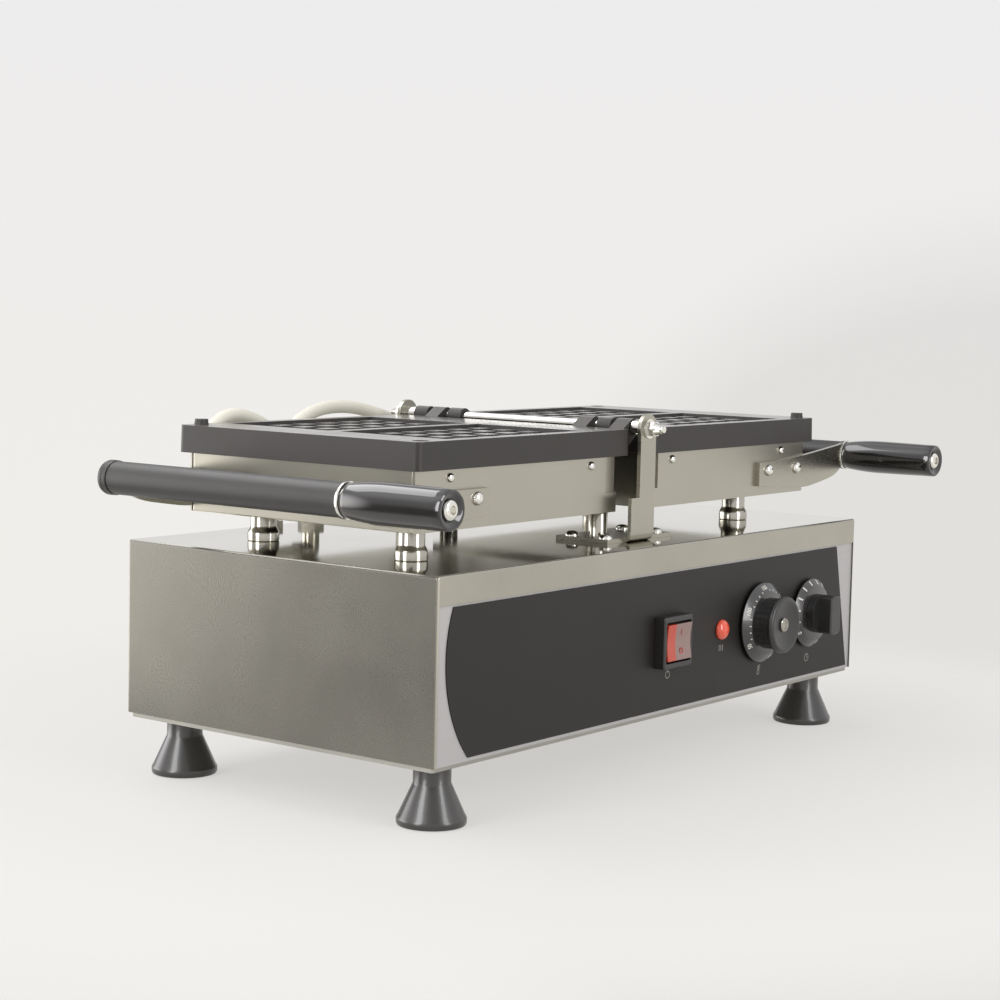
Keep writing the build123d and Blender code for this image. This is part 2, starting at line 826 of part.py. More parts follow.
def handle_arms(side):
    """Front and rear arm: a flat root that sweeps up into a round eye."""
    root_top = handle_z
    root_low = handle_z - arm_root_drop
    low_corner = (side * (housing_outer - 3), root_low - 4.1)
    eye_low = (side * (handle_x - arm_end_radius * 0.7), handle_z - arm_end_radius * 0.7)
    eye_front = (side * (handle_x + arm_end_radius), handle_z)
    eye_top = (side * (handle_x - arm_end_radius * 0.3), handle_z + arm_end_radius * 0.95)
    rise_start = (side * (housing_outer - 38), root_top)
    with BuildPart() as arms:
        for way in (-1, 1):
            with BuildSketch(front(way * arm_face)):
                with BuildLine():
                    Polyline(
                        rise_start,
                        (side * arm_root, root_top),
                        (side * arm_root, root_low),
                        low_corner,
                    )
                    Spline(
                        low_corner,
                        (side * (housing_outer + 24.5), root_low - 1.2),
                        eye_low,
                        tangents=((side, 0), (side * 0.7, 0.7)),
                    )
                    ThreePointArc(eye_low, eye_front, eye_top)
                    Spline(
                        eye_top,
                        (side * (handle_x - 26), handle_z + 7.5),
                        (side * (housing_outer + 12), handle_z + 4.5),
                        rise_start,
                        tangents=((-side * 0.95, -0.3), (-side, -0.1)),
                    )
                make_face()
                with Locations((side * handle_x, handle_z)):
                    Circle(rod_radius + arm_fit, mode=Mode.SUBTRACT)
            extrude(amount=-way * arm_sheet)
        add(screw_pins(side), mode=Mode.SUBTRACT)
    return arms.part


def along_handle(side, y):
    """Upright plane y in front of the cabinet's centre, on the handle's axis."""
    return Plane(
        origin=(side * handle_x, cabinet_y - y, handle_z), x_dir=(1, 0, 0), z_dir=(0, -1, 0)
    )


def handle_rod(side):
    """Steel rod through both arms, from the rear cap into the grip."""
    with BuildPart() as rod:
        with BuildSketch(along_handle(side, -arm_face - cap_reach + 2)):
            Circle(rod_radius)
        extrude(amount=arm_face + cap_reach - 2 + grip_end - rod_short)
    return rod.part


def handle_sleeve(side):
    """Black sleeve between the arms and the rounded cap behind them."""
    with BuildPart() as sleeve:
        with BuildSketch(along_handle(side, -cover_face + arm_fit)):
            Circle(sleeve_radius)
            Circle(rod_radius + arm_fit, mode=Mode.SUBTRACT)
        extrude(amount=2 * (cover_face - arm_fit))
    with BuildPart() as cap:
        with BuildSketch(along_handle(side, -arm_face - cap_reach)):
            Circle(cap_radius)
        extrude(amount=cap_reach)
        fillet(cap.faces().sort_by(Axis.Y)[-1].edges(), 2)
        with BuildSketch(along_handle(side, -arm_face - cap_reach + 2)):
            Circle(rod_radius + arm_fit)
        extrude(amount=cap_reach, mode=Mode.SUBTRACT)
    return Compound(children=[sleeve.part.solid(), cap.part.solid()])


def handle_ring(side):
    """Bright ring between the front arm and the grip."""
    with BuildPart() as ring:
        with BuildSketch(along_handle(side, arm_face)):
            Circle(ring_radius)
            Circle(rod_radius + arm_fit, mode=Mode.SUBTRACT)
        extrude(amount=ring_thick)
        chamfer(ring.faces().sort_by(Axis.Y)[0].outer_wire().edges(), 0.3)
    return ring.part


def handle_grip(side):
    """Slightly barrelled grip with a dished end and a bore for the rod."""
    bore = rod_radius + arm_fit
    rod_end = grip_length - rod_short + arm_fit
    seat_radius = socket_head_radius + 0.3
    screw_hole = socket_screw_radius + arm_fit
    with BuildPart() as grip:
        with BuildSketch(Plane.XY):
            with BuildLine():
                Line((bore, 0), (grip_neck_radius, 0))
                Spline(
                    (grip_neck_radius, 0),
                    (grip_belly_radius, grip_length * 0.4),
                    (grip_radius, grip_length - 1.2),
                    tangents=((0.12, 1), (-0.02, 1)),
                )
                Polyline(
                    (grip_radius, grip_length - 1.2),
                    (grip_radius - 1.2, grip_length),
                    (grip_radius - grip_lip, grip_length),
                    (seat_radius, grip_length - grip_dish),
                    (seat_radius, grip_length - socket_head_height),
                    (screw_hole, grip_length - socket_head_height),
                    (screw_hole, rod_end),
                    (bore, rod_end),
                    (bore, 0),
                )
            make_face()
        revolve(axis=Axis.Y)
    place = Location((side * handle_x, cabinet_y - grip_start, handle_z), (0, 0, 180))
    return grip.part.moved(place)


def handle_screw(side):
    """Socket-head screw in the grip's dished end."""
    with BuildPart() as screw:
        with BuildSketch(along_handle(side, grip_end - socket_head_height)):
            Circle(socket_head_radius)
        extrude(amount=socket_head_height + socket_head_proud)
        fillet(screw.faces().sort_by(Axis.Y)[0].edges(), 0.6)
        with BuildSketch(along_handle(side, grip_end + socket_head_proud)):
            RegularPolygon(socket_flats / 2, 6, major_radius=False)
        extrude(amount=-2.4, mode=Mode.SUBTRACT)
        with BuildSketch(along_handle(side, grip_end - socket_head_height)):
            Circle(socket_screw_radius)
        extrude(amount=-(rod_short - socket_head_height - arm_fit))
    return screw.part


def housing_elbow(side):
    """Conduit elbow on the rear wall of a housing; its outlet leans upwards."""
    spot = (housing_port[side], cabinet_y + housing_half_depth, housing_bottom + port_rise)
    with BuildPart() as elbow:
        with BuildSketch(Plane(origin=spot, x_dir=(1, 0, 0), z_dir=(0, 1, 0))):
            RegularPolygon(fitting_nut / 2, 6, major_radius=False)
        extrude(amount=fitting_wall)
        with BuildSketch(Plane(origin=spot, x_dir=(1, 0, 0), z_dir=(0, 1, 0))):
            Circle(fitting_radius - 1)
        extrude(amount=port_reach[side])
        with Locations((spot[0], spot[1] + port_reach[side], spot[2])):
            Sphere(fitting_radius - 1)
        outlet = Plane(
            origin=(spot[0], spot[1] + port_reach[side], spot[2]),
            z_dir=Vector(-1, 0, 0).rotate(Axis.Y, port_lean[side]),
        )
        with BuildSketch(outlet):
            Circle(fitting_radius - 1)
        extrude(amount=elbow_reach)
        with BuildSketch(outlet.offset(elbow_reach - 7)):
            RegularPolygon(fitting_nut / 2 - 1, 6, major_radius=False)
        extrude(amount=6)
    return elbow.part


unit_pieces = {
    "grid_plate": grid_plate,
    "housing": housing,
    "housing_covers": housing_covers,
    "housing_screws": housing_screws,
    "heater": heater,
    "clamp_plate": clamp_plate,
    "insulation": insulation,
    "handle_arms": handle_arms,
    "handle_rod": handle_rod,
    "handle_sleeve": handle_sleeve,
    "handle_ring": handle_ring,
    "handle_grip": handle_grip,
    "handle_screw": handle_screw,
    "conduit_elbow": housing_elbow,
}
for side, name in ((-1, "left"), (1, "right")):
    for label, make in unit_pieces.items():
        keep(make(side), f"{name}_{label}")

# Conduit fittings on the deck: an elbow for the left conduit, a gland for the right
with BuildPart() as deck_fittings:
    with BuildSketch(level(deck)):
        with Locations(deck_elbow, deck_gland):
            RegularPolygon(fitting_nut / 2, 6, major_radius=False)
    extrude(amount=fitting_wall)
    with BuildSketch(level(deck - 10)):
        with Locations(deck_elbow, deck_gland):
            Circle(fitting_radius - sheet_fit)
    extrude(amount=10)
    with BuildSketch(level(deck)):
        with Locations(deck_gland):
            Circle(fitting_radius - 1)
    extrude(amount=gland_height)
    with BuildSketch(level(deck)):
        with Locations(deck_elbow):
            Circle(fitting_radius - 1)
    extrude(amount=elbow_rise)
    with Locations((deck_elbow[0], cabinet_y + deck_elbow[1], deck + elbow_rise)):
        Sphere(fitting_radius - 1)
    turn_centre = (deck_elbow[0], cabinet_y + deck_elbow[1], deck + elbow_rise)
    with BuildSketch(Plane(origin=turn_centre, z_dir=(-1, 0, 0))):
        Circle(fitting_radius - 1)
    extrude(amount=elbow_reach)
keep(deck_fittings.part, "deck_fittings")

# Conduit routes: x, y from the cabinet's centre, height above the deck
left_route = [
    (-121, 114, 18),
    (-142, 114, 18),
    (-171, 116, 20),
    (-199, 119, 29),
    (-214, 120, 50),
    (-207, 120, 74),
    (-184, 119, 86),
    (-156, 117, 78),
    (-131, 115, 62),
    (-106.95, 114, 51.83),
    (-90.04, 114, 45.67),
]
right_route = [
    (-135, 127, 14),
    (-135, 127, 31),
    (-127, 130, 50),
    (-108, 134, 70),
    (-78, 137, 84),
    (-42, 137, 86),
    (-6, 137, 79),
    (17, 130, 70),
    (32.8, 118, 60.6),
    (47.2, 118, 49.8),
]


def conduit(route, name):
    """A smooth tube along a hand-chosen route, with tangent arcs at its points."""
    points = [Vector(x, cabinet_y + y, deck + z) for x, y, z in route]
    radii = []
    for before, here, after in zip(points, points[1:], points[2:]):
        turn = radians((here - before).get_angle(after - here))
        shorter = min((here - before).length, (after - here).length)
        radii.append(0.45 * shorter / tan(turn / 2))
    print(name, "radii", [round(r, 1) for r in radii])
    with BuildPart() as tube:
        with BuildLine() as path:
            FilletPolyline(*points, radius=radii)
        with BuildSketch(Plane(origin=path.line @ 0, z_dir=path.line % 0)):
            Circle(conduit_radius)
        sweep()
    print(name, "length", round(sum(edge.length for edge in path.line.edges()), 1))
    keep(tube.part, f"{name}_conduit")


conduit(left_route, "left")
conduit(right_route, "right")

# Rocker switch: deep bezel with the body behind the panel
switch_face = panel_face + overlay_sheet
with BuildPart() as switch_body:
    with BuildSketch(front(switch_face)):
        with Locations((switch_x, control_z)):
            RectangleRounded(switch_width, switch_tall, 2)
    extrude(amount=switch_proud)
    chamfer(switch_body.faces().sort_by(Axis.Y)[0].outer_wire().edges(), 1)
    with BuildSketch(front(switch_face)):
        with Locations((switch_x, control_z)):
            Rectangle(switch_width - 7, switch_tall - 7)
    extrude(amount=-switch_body_depth)
    with BuildSketch(front(switch_face + switch_proud)):
        with Locations((switch_x, control_z)):
            Rectangle(rocker_width, rocker_tall)
    extrude(amount=-rocker_pit, mode=Mode.SUBTRACT)
    with BuildSketch(front(switch_face - switch_body_depth)):
        with Locations((switch_x, control_z)):
            with GridLocations(12, 10, 2, 2):
                Rectangle(0.8, 6.3)
    extrude(amount=-8)
keep(switch_body.part, "switch_body")

# Rocker: a shallow dished paddle about a level axis
pivot_y = switch_face + switch_proud - pivot_inset
rocker_nose = pivot_inset + rocker_proud
with BuildPart() as switch_rocker:
    rocker_side = Plane(
        origin=(switch_x - rocker_width / 2 + rocker_play, cabinet_y - pivot_y, control_z),
        x_dir=(0, -1, 0),
        z_dir=(-1, 0, 0),
    )
    paddle_half = rocker_tall / 2 - 4 * rocker_play
    with BuildSketch(rocker_side):
        with BuildLine():
            Line((-1.5, -6), (-1.5, 6))
            Line((-1.5, 6), (1.5, paddle_half))
            Line((1.5, paddle_half), (rocker_nose, paddle_half))
            ThreePointArc(
                (rocker_nose, paddle_half), (rocker_nose - rocker_dish, 0), (rocker_nose, -paddle_half)
            )
            Line((rocker_nose, -paddle_half), (1.5, -paddle_half))
            Line((1.5, -paddle_half), (-1.5, -6))
        make_face()
    extrude(amount=-(rocker_width - 2 * rocker_play))
    fillet(switch_rocker.edges().filter_by(Axis.X).sort_by(Axis.Y)[:2], 0.6)
keep(switch_rocker.part, "switch_rocker")

# Indicator lamp: lens, collar and body in one
with BuildPart() as indicator_lamp:
    with BuildSketch(Plane.XY):
        with BuildLine():
            Line((0, -20), (lamp_radius - 2.2, -20))
            Line((lamp_radius - 2.2, -20), (lamp_radius - 2.2, 0))
            Line((lamp_radius - 2.2, 0), (lamp_radius, 0))
            Line((lamp_radius, 0), (lamp_radius, 1))
            dome(lamp_radius, 1, lamp_proud - 1)
            Line((0, lamp_proud), (0, -20))
        make_face()
    revolve(axis=Axis.Y)
lamp_place = Location((lamp_x, cabinet_y - switch_face, control_z), (0, 0, 180))
keep(indicator_lamp.part.moved(lamp_place), "indicator_lamp")


def control_body(x, wide, deep, name):
    """Body of a rotary control behind the panel, with its bush and spindle."""
    with BuildPart() as body:
        with BuildSketch(front(panel_face - panel_sheet)):
            with Locations((x, control_z)):
                RectangleRounded(wide, wide * 0.9, 3)
        extrude(amount=-deep)
        with BuildSketch(front(panel_face - panel_sheet)):
            with Locations((x, control_z)):
                Circle(bush_radius - sheet_fit)
        extrude(amount=panel_sheet + overlay_sheet + 1)
        with BuildSketch(front(panel_face)):
            with Locations((x, control_z)):
                Circle(spindle_radius)
        extrude(amount=dial_lift + overlay_sheet + dial_hub)
    keep(body.part, name)


control_body(temperature_x, 44, 32, "thermostat")
control_body(timer_x, 40, 30, "timer_body")

# Temperature dial: bevelled skirt and hub that the grip sits on
dial_back = switch_face + dial_lift
with BuildPart() as temperature_dial:
    with BuildSketch(Plane.XY):
        with BuildLine():
            Polyline(
                (spindle_radius + spindle_play, 0),
                (dial_radius, 0),
                (dial_radius, 1.2),
                (dial_radius - 6.2, dial_thick),
                (grip_knob_radius - 1.5, dial_thick),
                (spindle_radius + spindle_play, dial_thick),
                close=True,
            )
        make_face()
    revolve(axis=Axis.Y)
dial_place = Location((temperature_x, cabinet_y - dial_back, control_z), (0, 0, 180))
keep(temperature_dial.part.moved(dial_place), "temperature_dial")

# Temperature grip: fluted drum with a rounded rim and a dished front
rim = grip_knob_radius
tall = grip_knob_height
drum = rim - 2.4
cap_seat = tall - grip_dish_depth
with BuildPart() as temperature_grip:
    with BuildSketch(Plane.XY):
        with BuildLine():
            Line((0, 0), (drum, 0))
            Line((drum, 0), (drum, tall - grip_flange))
            ThreePointArc(
                (drum, tall - grip_flange), (rim, tall - grip_flange / 2), (rim - 3, tall)
            )
            ThreePointArc((rim - 3, tall), (rim * 0.55, tall - 1.9), (knob_cap_radius, cap_seat))
            Line((knob_cap_radius, cap_seat), (0, cap_seat))
            Line((0, cap_seat), (0, 0))
        make_face()
    revolve(axis=Axis.Y)
    with BuildSketch(Plane.XZ):
        with PolarLocations(drum + 0.7, 24):
            Circle(1.1)
    extrude(amount=-(tall - grip_flange), mode=Mode.SUBTRACT)
    with BuildSketch(Plane.XZ):
        Circle(spindle_radius + spindle_play)
    extrude(amount=-(dial_hub - dial_thick), mode=Mode.SUBTRACT)
grip_place = Location((temperature_x, cabinet_y - dial_back - dial_thick, control_z), (0, 0, 180))
keep(temperature_grip.part.moved(grip_place), "temperature_grip")

# Silver cap in the middle of the temperature grip
with BuildPart() as temperature_cap:
    with BuildSketch(front(dial_back + dial_thick + cap_seat)):
        with Locations((temperature_x, control_z)):
            Circle(knob_cap_radius - 0.2)
    extrude(amount=knob_cap_height)
    fillet(temperature_cap.faces().sort_by(Axis.Y)[0].edges(), 0.5)
keep(temperature_cap.part, "temperature_cap")

# Timer dial and its bar grip
with BuildPart() as timer_dial:
    with BuildSketch(Plane.XY):
        with BuildLine():
            Polyline(
                (spindle_radius + spindle_play, 0),
                (timer_dial_radius, 0),
                (timer_dial_radius, 1),
                (timer_dial_radius - 5, dial_thick - 1),
                (spindle_radius + spindle_play, dial_thick - 1),
                close=True,
            )
        make_face()
    revolve(axis=Axis.Y)
timer_place = Location((timer_x, cabinet_y - dial_back, control_z), (0, 0, 180))
keep(timer_dial.part.moved(timer_place), "timer_dial")

with BuildPart() as timer_grip:
    with BuildSketch(Plane.XZ):
        Circle(timer_grip_radius)
    extrude(amount=-timer_grip_height)
    with BuildSketch(Plane.XZ.offset(-6)):
        with Locations((timer_grip_radius, 0), (-timer_grip_radius, 0)):
            Rectangle(2 * timer_grip_radius - timer_bar, 3 * timer_grip_radius)
    extrude(amount=-timer_grip_height, mode=Mode.SUBTRACT)
    chamfer(timer_grip.faces().sort_by(Axis.Y)[-1].edges(), 1)
    with BuildSketch(Plane.XZ):
        Circle(spindle_radius + spindle_play)
    extrude(amount=-(dial_hub - dial_thick + 1), mode=Mode.SUBTRACT)
timer_grip_place = Location((timer_x, cabinet_y - dial_back - dial_thick + 1, control_z), (0, 0, 180))
keep(timer_grip.part.moved(timer_grip_place), "timer_grip")

# Terminal block on the pan's floor
with BuildPart() as terminal_block:
    with BuildSketch(level(foot_height + sheet)):
        with Locations(block_place):
            Rectangle(block_pitch * 5, block_depth)
    extrude(amount=block_height)
    with BuildSketch(level(foot_height + sheet + block_height)):
        with Locations(block_place):
            with GridLocations(block_pitch, 1, 5, 1):
                Circle(block_pitch / 4)
    extrude(amount=-4, mode=Mode.SUBTRACT)
keep(terminal_block.part, "terminal_block")

for label, piece in made.items():
    export_step(piece, f"parts/{label}.step")
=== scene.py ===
"""Looks of the rotating waffle maker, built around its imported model.

Lengths are metres in the model's frame. Rings, and numbers that are multiplied by MM,
are millimetres.
"""

import json
import logging
import math
from dataclasses import dataclass, field
from enum import Enum

import bpy
from mathutils import Matrix, Vector
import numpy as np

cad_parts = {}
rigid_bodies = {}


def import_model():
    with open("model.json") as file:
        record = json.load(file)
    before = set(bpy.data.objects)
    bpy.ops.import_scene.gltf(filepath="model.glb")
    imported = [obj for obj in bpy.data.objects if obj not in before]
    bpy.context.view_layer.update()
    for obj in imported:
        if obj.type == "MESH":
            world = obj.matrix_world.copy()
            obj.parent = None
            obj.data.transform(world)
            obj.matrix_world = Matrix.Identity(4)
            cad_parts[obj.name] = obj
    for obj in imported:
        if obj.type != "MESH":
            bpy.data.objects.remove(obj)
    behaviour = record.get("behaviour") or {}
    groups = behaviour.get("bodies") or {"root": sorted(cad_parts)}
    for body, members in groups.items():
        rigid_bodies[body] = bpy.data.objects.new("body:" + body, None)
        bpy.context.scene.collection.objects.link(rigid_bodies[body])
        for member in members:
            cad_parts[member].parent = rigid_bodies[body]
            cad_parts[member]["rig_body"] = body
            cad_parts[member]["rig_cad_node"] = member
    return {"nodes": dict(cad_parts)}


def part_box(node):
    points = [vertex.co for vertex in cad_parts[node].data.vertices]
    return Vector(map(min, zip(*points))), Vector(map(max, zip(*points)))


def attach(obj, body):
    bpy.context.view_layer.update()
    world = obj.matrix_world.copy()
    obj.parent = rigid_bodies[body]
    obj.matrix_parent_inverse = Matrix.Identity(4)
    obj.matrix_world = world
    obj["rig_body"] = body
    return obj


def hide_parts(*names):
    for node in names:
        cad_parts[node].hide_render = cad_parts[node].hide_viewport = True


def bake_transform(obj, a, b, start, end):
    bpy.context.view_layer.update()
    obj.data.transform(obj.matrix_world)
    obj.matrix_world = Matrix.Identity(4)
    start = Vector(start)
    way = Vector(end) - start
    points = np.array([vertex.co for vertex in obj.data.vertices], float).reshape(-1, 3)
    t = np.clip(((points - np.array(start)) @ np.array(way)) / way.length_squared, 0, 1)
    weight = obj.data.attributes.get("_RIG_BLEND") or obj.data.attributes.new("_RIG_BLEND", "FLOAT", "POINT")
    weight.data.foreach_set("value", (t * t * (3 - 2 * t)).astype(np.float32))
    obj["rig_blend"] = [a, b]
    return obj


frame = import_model()

LOG = logging.getLogger("waffle_maker")
MM = 0.001
SIDES = {"left": -1, "right": 1}
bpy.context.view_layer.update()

Ring = tuple[float, float]
Pair = tuple[float, float]
Point = tuple[float, float, float]
Piece = bpy.types.Object
Tree = bpy.types.NodeTree
Node = bpy.types.Node
Socket = bpy.types.NodeSocket

COAT_ROUGHNESS = 0.06
GRAIN_DEPTH = 0.1 * MM
SMUDGE_OCTAVES = 3.0
GRAIN_OCTAVES = 4.0
NOISE_SPAN = (0.6, 1.4)
MERGE_REACH = 0.005 * MM
FLAT_DEGREES = 1.5
SMOOTH_DEGREES = 32.0
EDGE_DEGREES = 38.0
PRINT_HEIGHT = 0.05 * MM
STROKE_SPREAD = 0.09 * MM
FONT_SHARE = 1.4

# Faces round a turned piece, more where it shows large
FACES_LARGE = 96
FACES_USUAL = 72
FACES_MIDDLE = 64
FACES_SLIM = 48
FACES_SMALL = 40


class Facing(Enum):
    """Which way a turned piece's own +Z points when it is in place."""

    UP = (0, 0, 1)
    FRONT = (0, -1, 0)
    REAR = (0, 1, 0)


# Colours and shader nodes


def linear(code: str) -> tuple[float, float, float, float]:
    """Turn an sRGB hex colour into the linear colour that the shaders take.

    Args:
        code: The colour as "#rrggbb".

    Returns:
        Linear red, green, blue and a full alpha.
    """
    parts = [int(code[i : i + 2], 16) / 255 for i in (1, 3, 5)]
    red, green, blue = (c / 12.92 if c <= 0.04045 else ((c + 0.055) / 1.055) ** 2.4 for c in parts)
    return red, green, blue, 1.0


def add_node(tree: Tree, kind: str, inputs: dict | None = None) -> Node:
    """Add one shader node.

    Args:
        tree: The material's or world's node tree.
        kind: The node's type name, without the words that all shader nodes start with.
        inputs: Values or source sockets by socket name or number, and properties by name.

    Returns:
        The new node.
    """
    node = tree.nodes.new(f"ShaderNode{kind}")
    for key, value in (inputs or {}).items():
        if isinstance(value, Socket):
            tree.links.new(value, node.inputs[key])
        elif isinstance(key, int) or key in node.inputs:
            node.inputs[key].default_value = value
        else:
            setattr(node, key, value)
    return node


def combine(
    tree: Tree, operation: str, first: Socket, second: Socket | float, clamp: bool = False
) -> Socket:
    """Return two values joined by an arithmetic node, kept between 0 and 1 where asked."""
    inputs = {"operation": operation, "use_clamp": clamp, 0: first, 1: second}
    return add_node(tree, "Math", inputs).outputs[0]


def ramp(
    tree: Tree, value: Socket, ends: Pair, results: Pair = (0.0, 1.0), kind: str = "LINEAR"
) -> Socket:
    """Map a value from one range onto another.

    Args:
        tree: The node tree.
        value: The value.
        ends: Where the ramp starts and ends.
        results: What it gives there and beyond.
        kind: How it runs between them.

    Returns:
        The mapped value.
    """
    inputs = {"interpolation_type": kind, 0: value}
    inputs.update(zip((1, 2, 3, 4), (*ends, *results)))
    return add_node(tree, "MapRange", inputs).outputs[0]


def mixed(tree: Tree, share: Socket, first: object, second: object, colour: bool = False) -> Socket:
    """Mix two values or two colours.

    Args:
        tree: The node tree.
        share: How much of the second is taken.
        first: The first value, colour or source socket.
        second: The second one.
        colour: Whether they are colours.

    Returns:
        The mix.
    """
    kind, at, out = ("RGBA", 6, 2) if colour else ("FLOAT", 2, 0)
    inputs = {"data_type": kind, 0: share, at: first, at + 1: second}
    return add_node(tree, "Mix", inputs).outputs[out]


@dataclass(frozen=True)
class Finish:
    """A surface as it was made: colour, gloss, grain and the marks of use."""

    name: str
    colour: str
    roughness: float
    metallic: float = 0.0
    ior: float = 1.5
    grain_mm: Point = (0.6, 0.6, 0.6)
    bump: float = 0.1
    smudge_mm: float = 60.0
    smudge: float = 0.05
    shade: float = 0.06
    coat: float = 0.0

    def build(self) -> bpy.types.Material:
        """Make the material, or return it if it is made.

        Returns:
            The Blender material.
        """
        made = bpy.data.materials.get(self.name)
        if made is not None:
            return made
        material = bpy.data.materials.new(self.name)
        material.use_nodes = True
        tree = material.node_tree
        shader = tree.nodes["Principled BSDF"]
        shader.inputs["Metallic"].default_value = self.metallic
        shader.inputs["IOR"].default_value = self.ior
        shader.inputs["Coat Weight"].default_value = self.coat
        shader.inputs["Coat Roughness"].default_value = COAT_ROUGHNESS
        self.dress(tree, shader)
        return material

    def dress(self, tree: Tree, shader: Node) -> None:
        """Link grain, smudges and shade into the shader.

        Args:
            tree: The material's node tree.
            shader: The principled shader.
        """
        place = add_node(tree, "TexCoord").outputs["Object"]
        smudge = self.noise(tree, place, (self.smudge_mm,) * 3, SMUDGE_OCTAVES)
        grain = self.noise(tree, place, self.grain_mm, GRAIN_OCTAVES)
        tree.links.new(self.shaded(tree, smudge, self.colour), shader.inputs["Base Color"])
        tree.links.new(self.glossed(tree, smudge, grain, self.roughness), shader.inputs["Roughness"])
        self.roughened(tree, shader, grain)

    def noise(self, tree: Tree, place: Socket, size_mm: Point, detail: float) -> Socket:
        """Add noise whose features have a real size along each axis.

        Args:
            tree: The material's node tree.
            place: The coordinates.
            size_mm: Feature size along X, Y and Z.
            detail: Octaves.

        Returns:
            The noise's value.
        """
        scale = tuple(1 / (s * MM) for s in size_mm)
        mapped = add_node(tree, "Mapping", {"Scale": scale, "Vector": place}).outputs[0]
        inputs = {"Scale": 1.0, "Detail": detail, "Vector": mapped}
        return add_node(tree, "TexNoise", inputs).outputs[0]

    def shaded(self, tree: Tree, value: Socket, code: str) -> Socket:
        """Vary a colour's brightness a little with a noise value.

        Args:
            tree: The material's node tree.
            value: The noise.
            code: The middle colour.

        Returns:
            The varied colour.
        """
        red, green, blue, alpha = linear(code)
        low, high = 1 - 2 * self.shade, 1 + 2 * self.shade
        dark = (red * low, green * low, blue * low, alpha)
        light = (min(1, red * high), min(1, green * high), min(1, blue * high), alpha)
        return mixed(tree, value, dark, light, colour=True)

    def glossed(self, tree: Tree, smudge: Socket, grain: Socket, middle: float) -> Socket:
        """Return a roughness that smudges and grain vary about its middle value."""
        results = (max(0.02, middle - self.smudge), min(1.0, middle + self.smudge))
        return ramp(tree, combine(tree, "ADD", smudge, grain), NOISE_SPAN, results)

    def roughened(self, tree: Tree, shader: Node, grain: Socket) -> Node:
        """Link the grain's relief into the shader's normal.

        Args:
            tree: The material's node tree.
            shader: The principled shader.
            grain: Fine noise.

        Returns:
            The bump node.
        """
        inputs = {"Strength": self.bump, "Distance": GRAIN_DEPTH, "Height": grain}
        relief = add_node(tree, "Bump", inputs)
        tree.links.new(relief.outputs[0], shader.inputs["Normal"])
        return relief


@dataclass(frozen=True)
class ZonedFinish(Finish):
    """A finish with other values on the faces that look up above a height."""

    limit_mm: float = 0.0
    rising: Pair = (0.8, 0.97)
    other_colour: str = "#cccccc"
    other_roughness: float = 0.1
    other_metallic: float = 0.0
    other_bump: float = 0.02

    def zone(self, tree: Tree, coordinates: bpy.types.NodeOutputs) -> Socket:
        """Tell the faces that look up above the height, such as the polished deck, from the rest.

        Args:
            tree: The material's node tree.
            coordinates: Outputs of the texture coordinate node.

        Returns:
            1 where the other values apply, else 0.
        """
        height = add_node(tree, "SeparateXYZ", {0: coordinates["Object"]}).outputs[2]
        upward = add_node(tree, "SeparateXYZ", {0: coordinates["Normal"]}).outputs[2]
        high = combine(tree, "GREATER_THAN", height, self.limit_mm * MM)
        return combine(tree, "MULTIPLY", high, ramp(tree, upward, self.rising))

    def dress(self, tree: Tree, shader: Node) -> None:
        """Link grain and smudges, with the other values in the zone.

        Args:
            tree: The material's node tree.
            shader: The principled shader.
        """
        coordinates = add_node(tree, "TexCoord").outputs
        place = coordinates["Object"]
        zone = self.zone(tree, coordinates)
        smudge = self.noise(tree, place, (self.smudge_mm,) * 3, SMUDGE_OCTAVES)
        grain = self.noise(tree, place, self.grain_mm, GRAIN_OCTAVES)
        colours = [self.shaded(tree, smudge, code) for code in (self.colour, self.other_colour)]
        gloss = [
            self.glossed(tree, smudge, grain, value) for value in (self.roughness, self.other_roughness)
        ]
        relief = self.roughened(tree, shader, grain)
        for target, source in (
            (shader.inputs["Base Color"], mixed(tree, zone, *colours, colour=True)),
            (shader.inputs["Roughness"], mixed(tree, zone, *gloss)),
            (shader.inputs["Metallic"], mixed(tree, zone, self.metallic, self.other_metallic)),
            (relief.inputs["Strength"], mixed(tree, zone, self.bump, self.other_bump)),
        ):
            tree.links.new(source, target)


@dataclass(frozen=True)
class SplitFinish(ZonedFinish):
    """A finish with other values right of an upright line."""

    blur_mm: float = 0.7

    def zone(self, tree: Tree, coordinates: bpy.types.NodeOutputs) -> Socket:
        """Tell the right part from the left.

        Args:
            tree: The material's node tree.
            coordinates: Outputs of the texture coordinate node.

        Returns:
            1 right of the line, else 0, with a soft step between.
        """
        across = add_node(tree, "SeparateXYZ", {0: coordinates["Object"]}).outputs[0]
        low, high = (self.limit_mm - self.blur_mm) * MM, (self.limit_mm + self.blur_mm) * MM
        return ramp(tree, across, (low, high))


# Finishes. Their grain is drawn coarser than real, because a tenth of a millimetre wouldn't show

# Stainless steel sheet: the sides are satin, with a darker colour that is painted shade, and the deck is
# left nearly mirror bright
CABINET_STEEL = ZonedFinish(
    "stainless_cabinet", "#7c7a73", 0.27, 1.0, grain_mm=(0.8, 0.8, 0.6), smudge=0.03,
    limit_mm=160.0, other_colour="#d2d0c6", other_roughness=0.075, other_metallic=1.0,
)
# The folded lips in front and at the rear, from the same sheet, with a brighter colour that is painted light
LIT_LIP_STEEL = Finish(
    "stainless_lip_painted_light", "#a6a398", 0.3, 1.0, grain_mm=(0.8, 0.8, 0.6), bump=0.05, smudge=0.03
)
# Satin stainless with a fine even grain, which blurs what it mirrors
HOUSING_STEEL = Finish(
    "stainless_housing", "#a8a59a", 0.3, 1.0, grain_mm=(1.2, 1.2, 0.5), bump=0.025,
    smudge=0.025, shade=0.03,
)
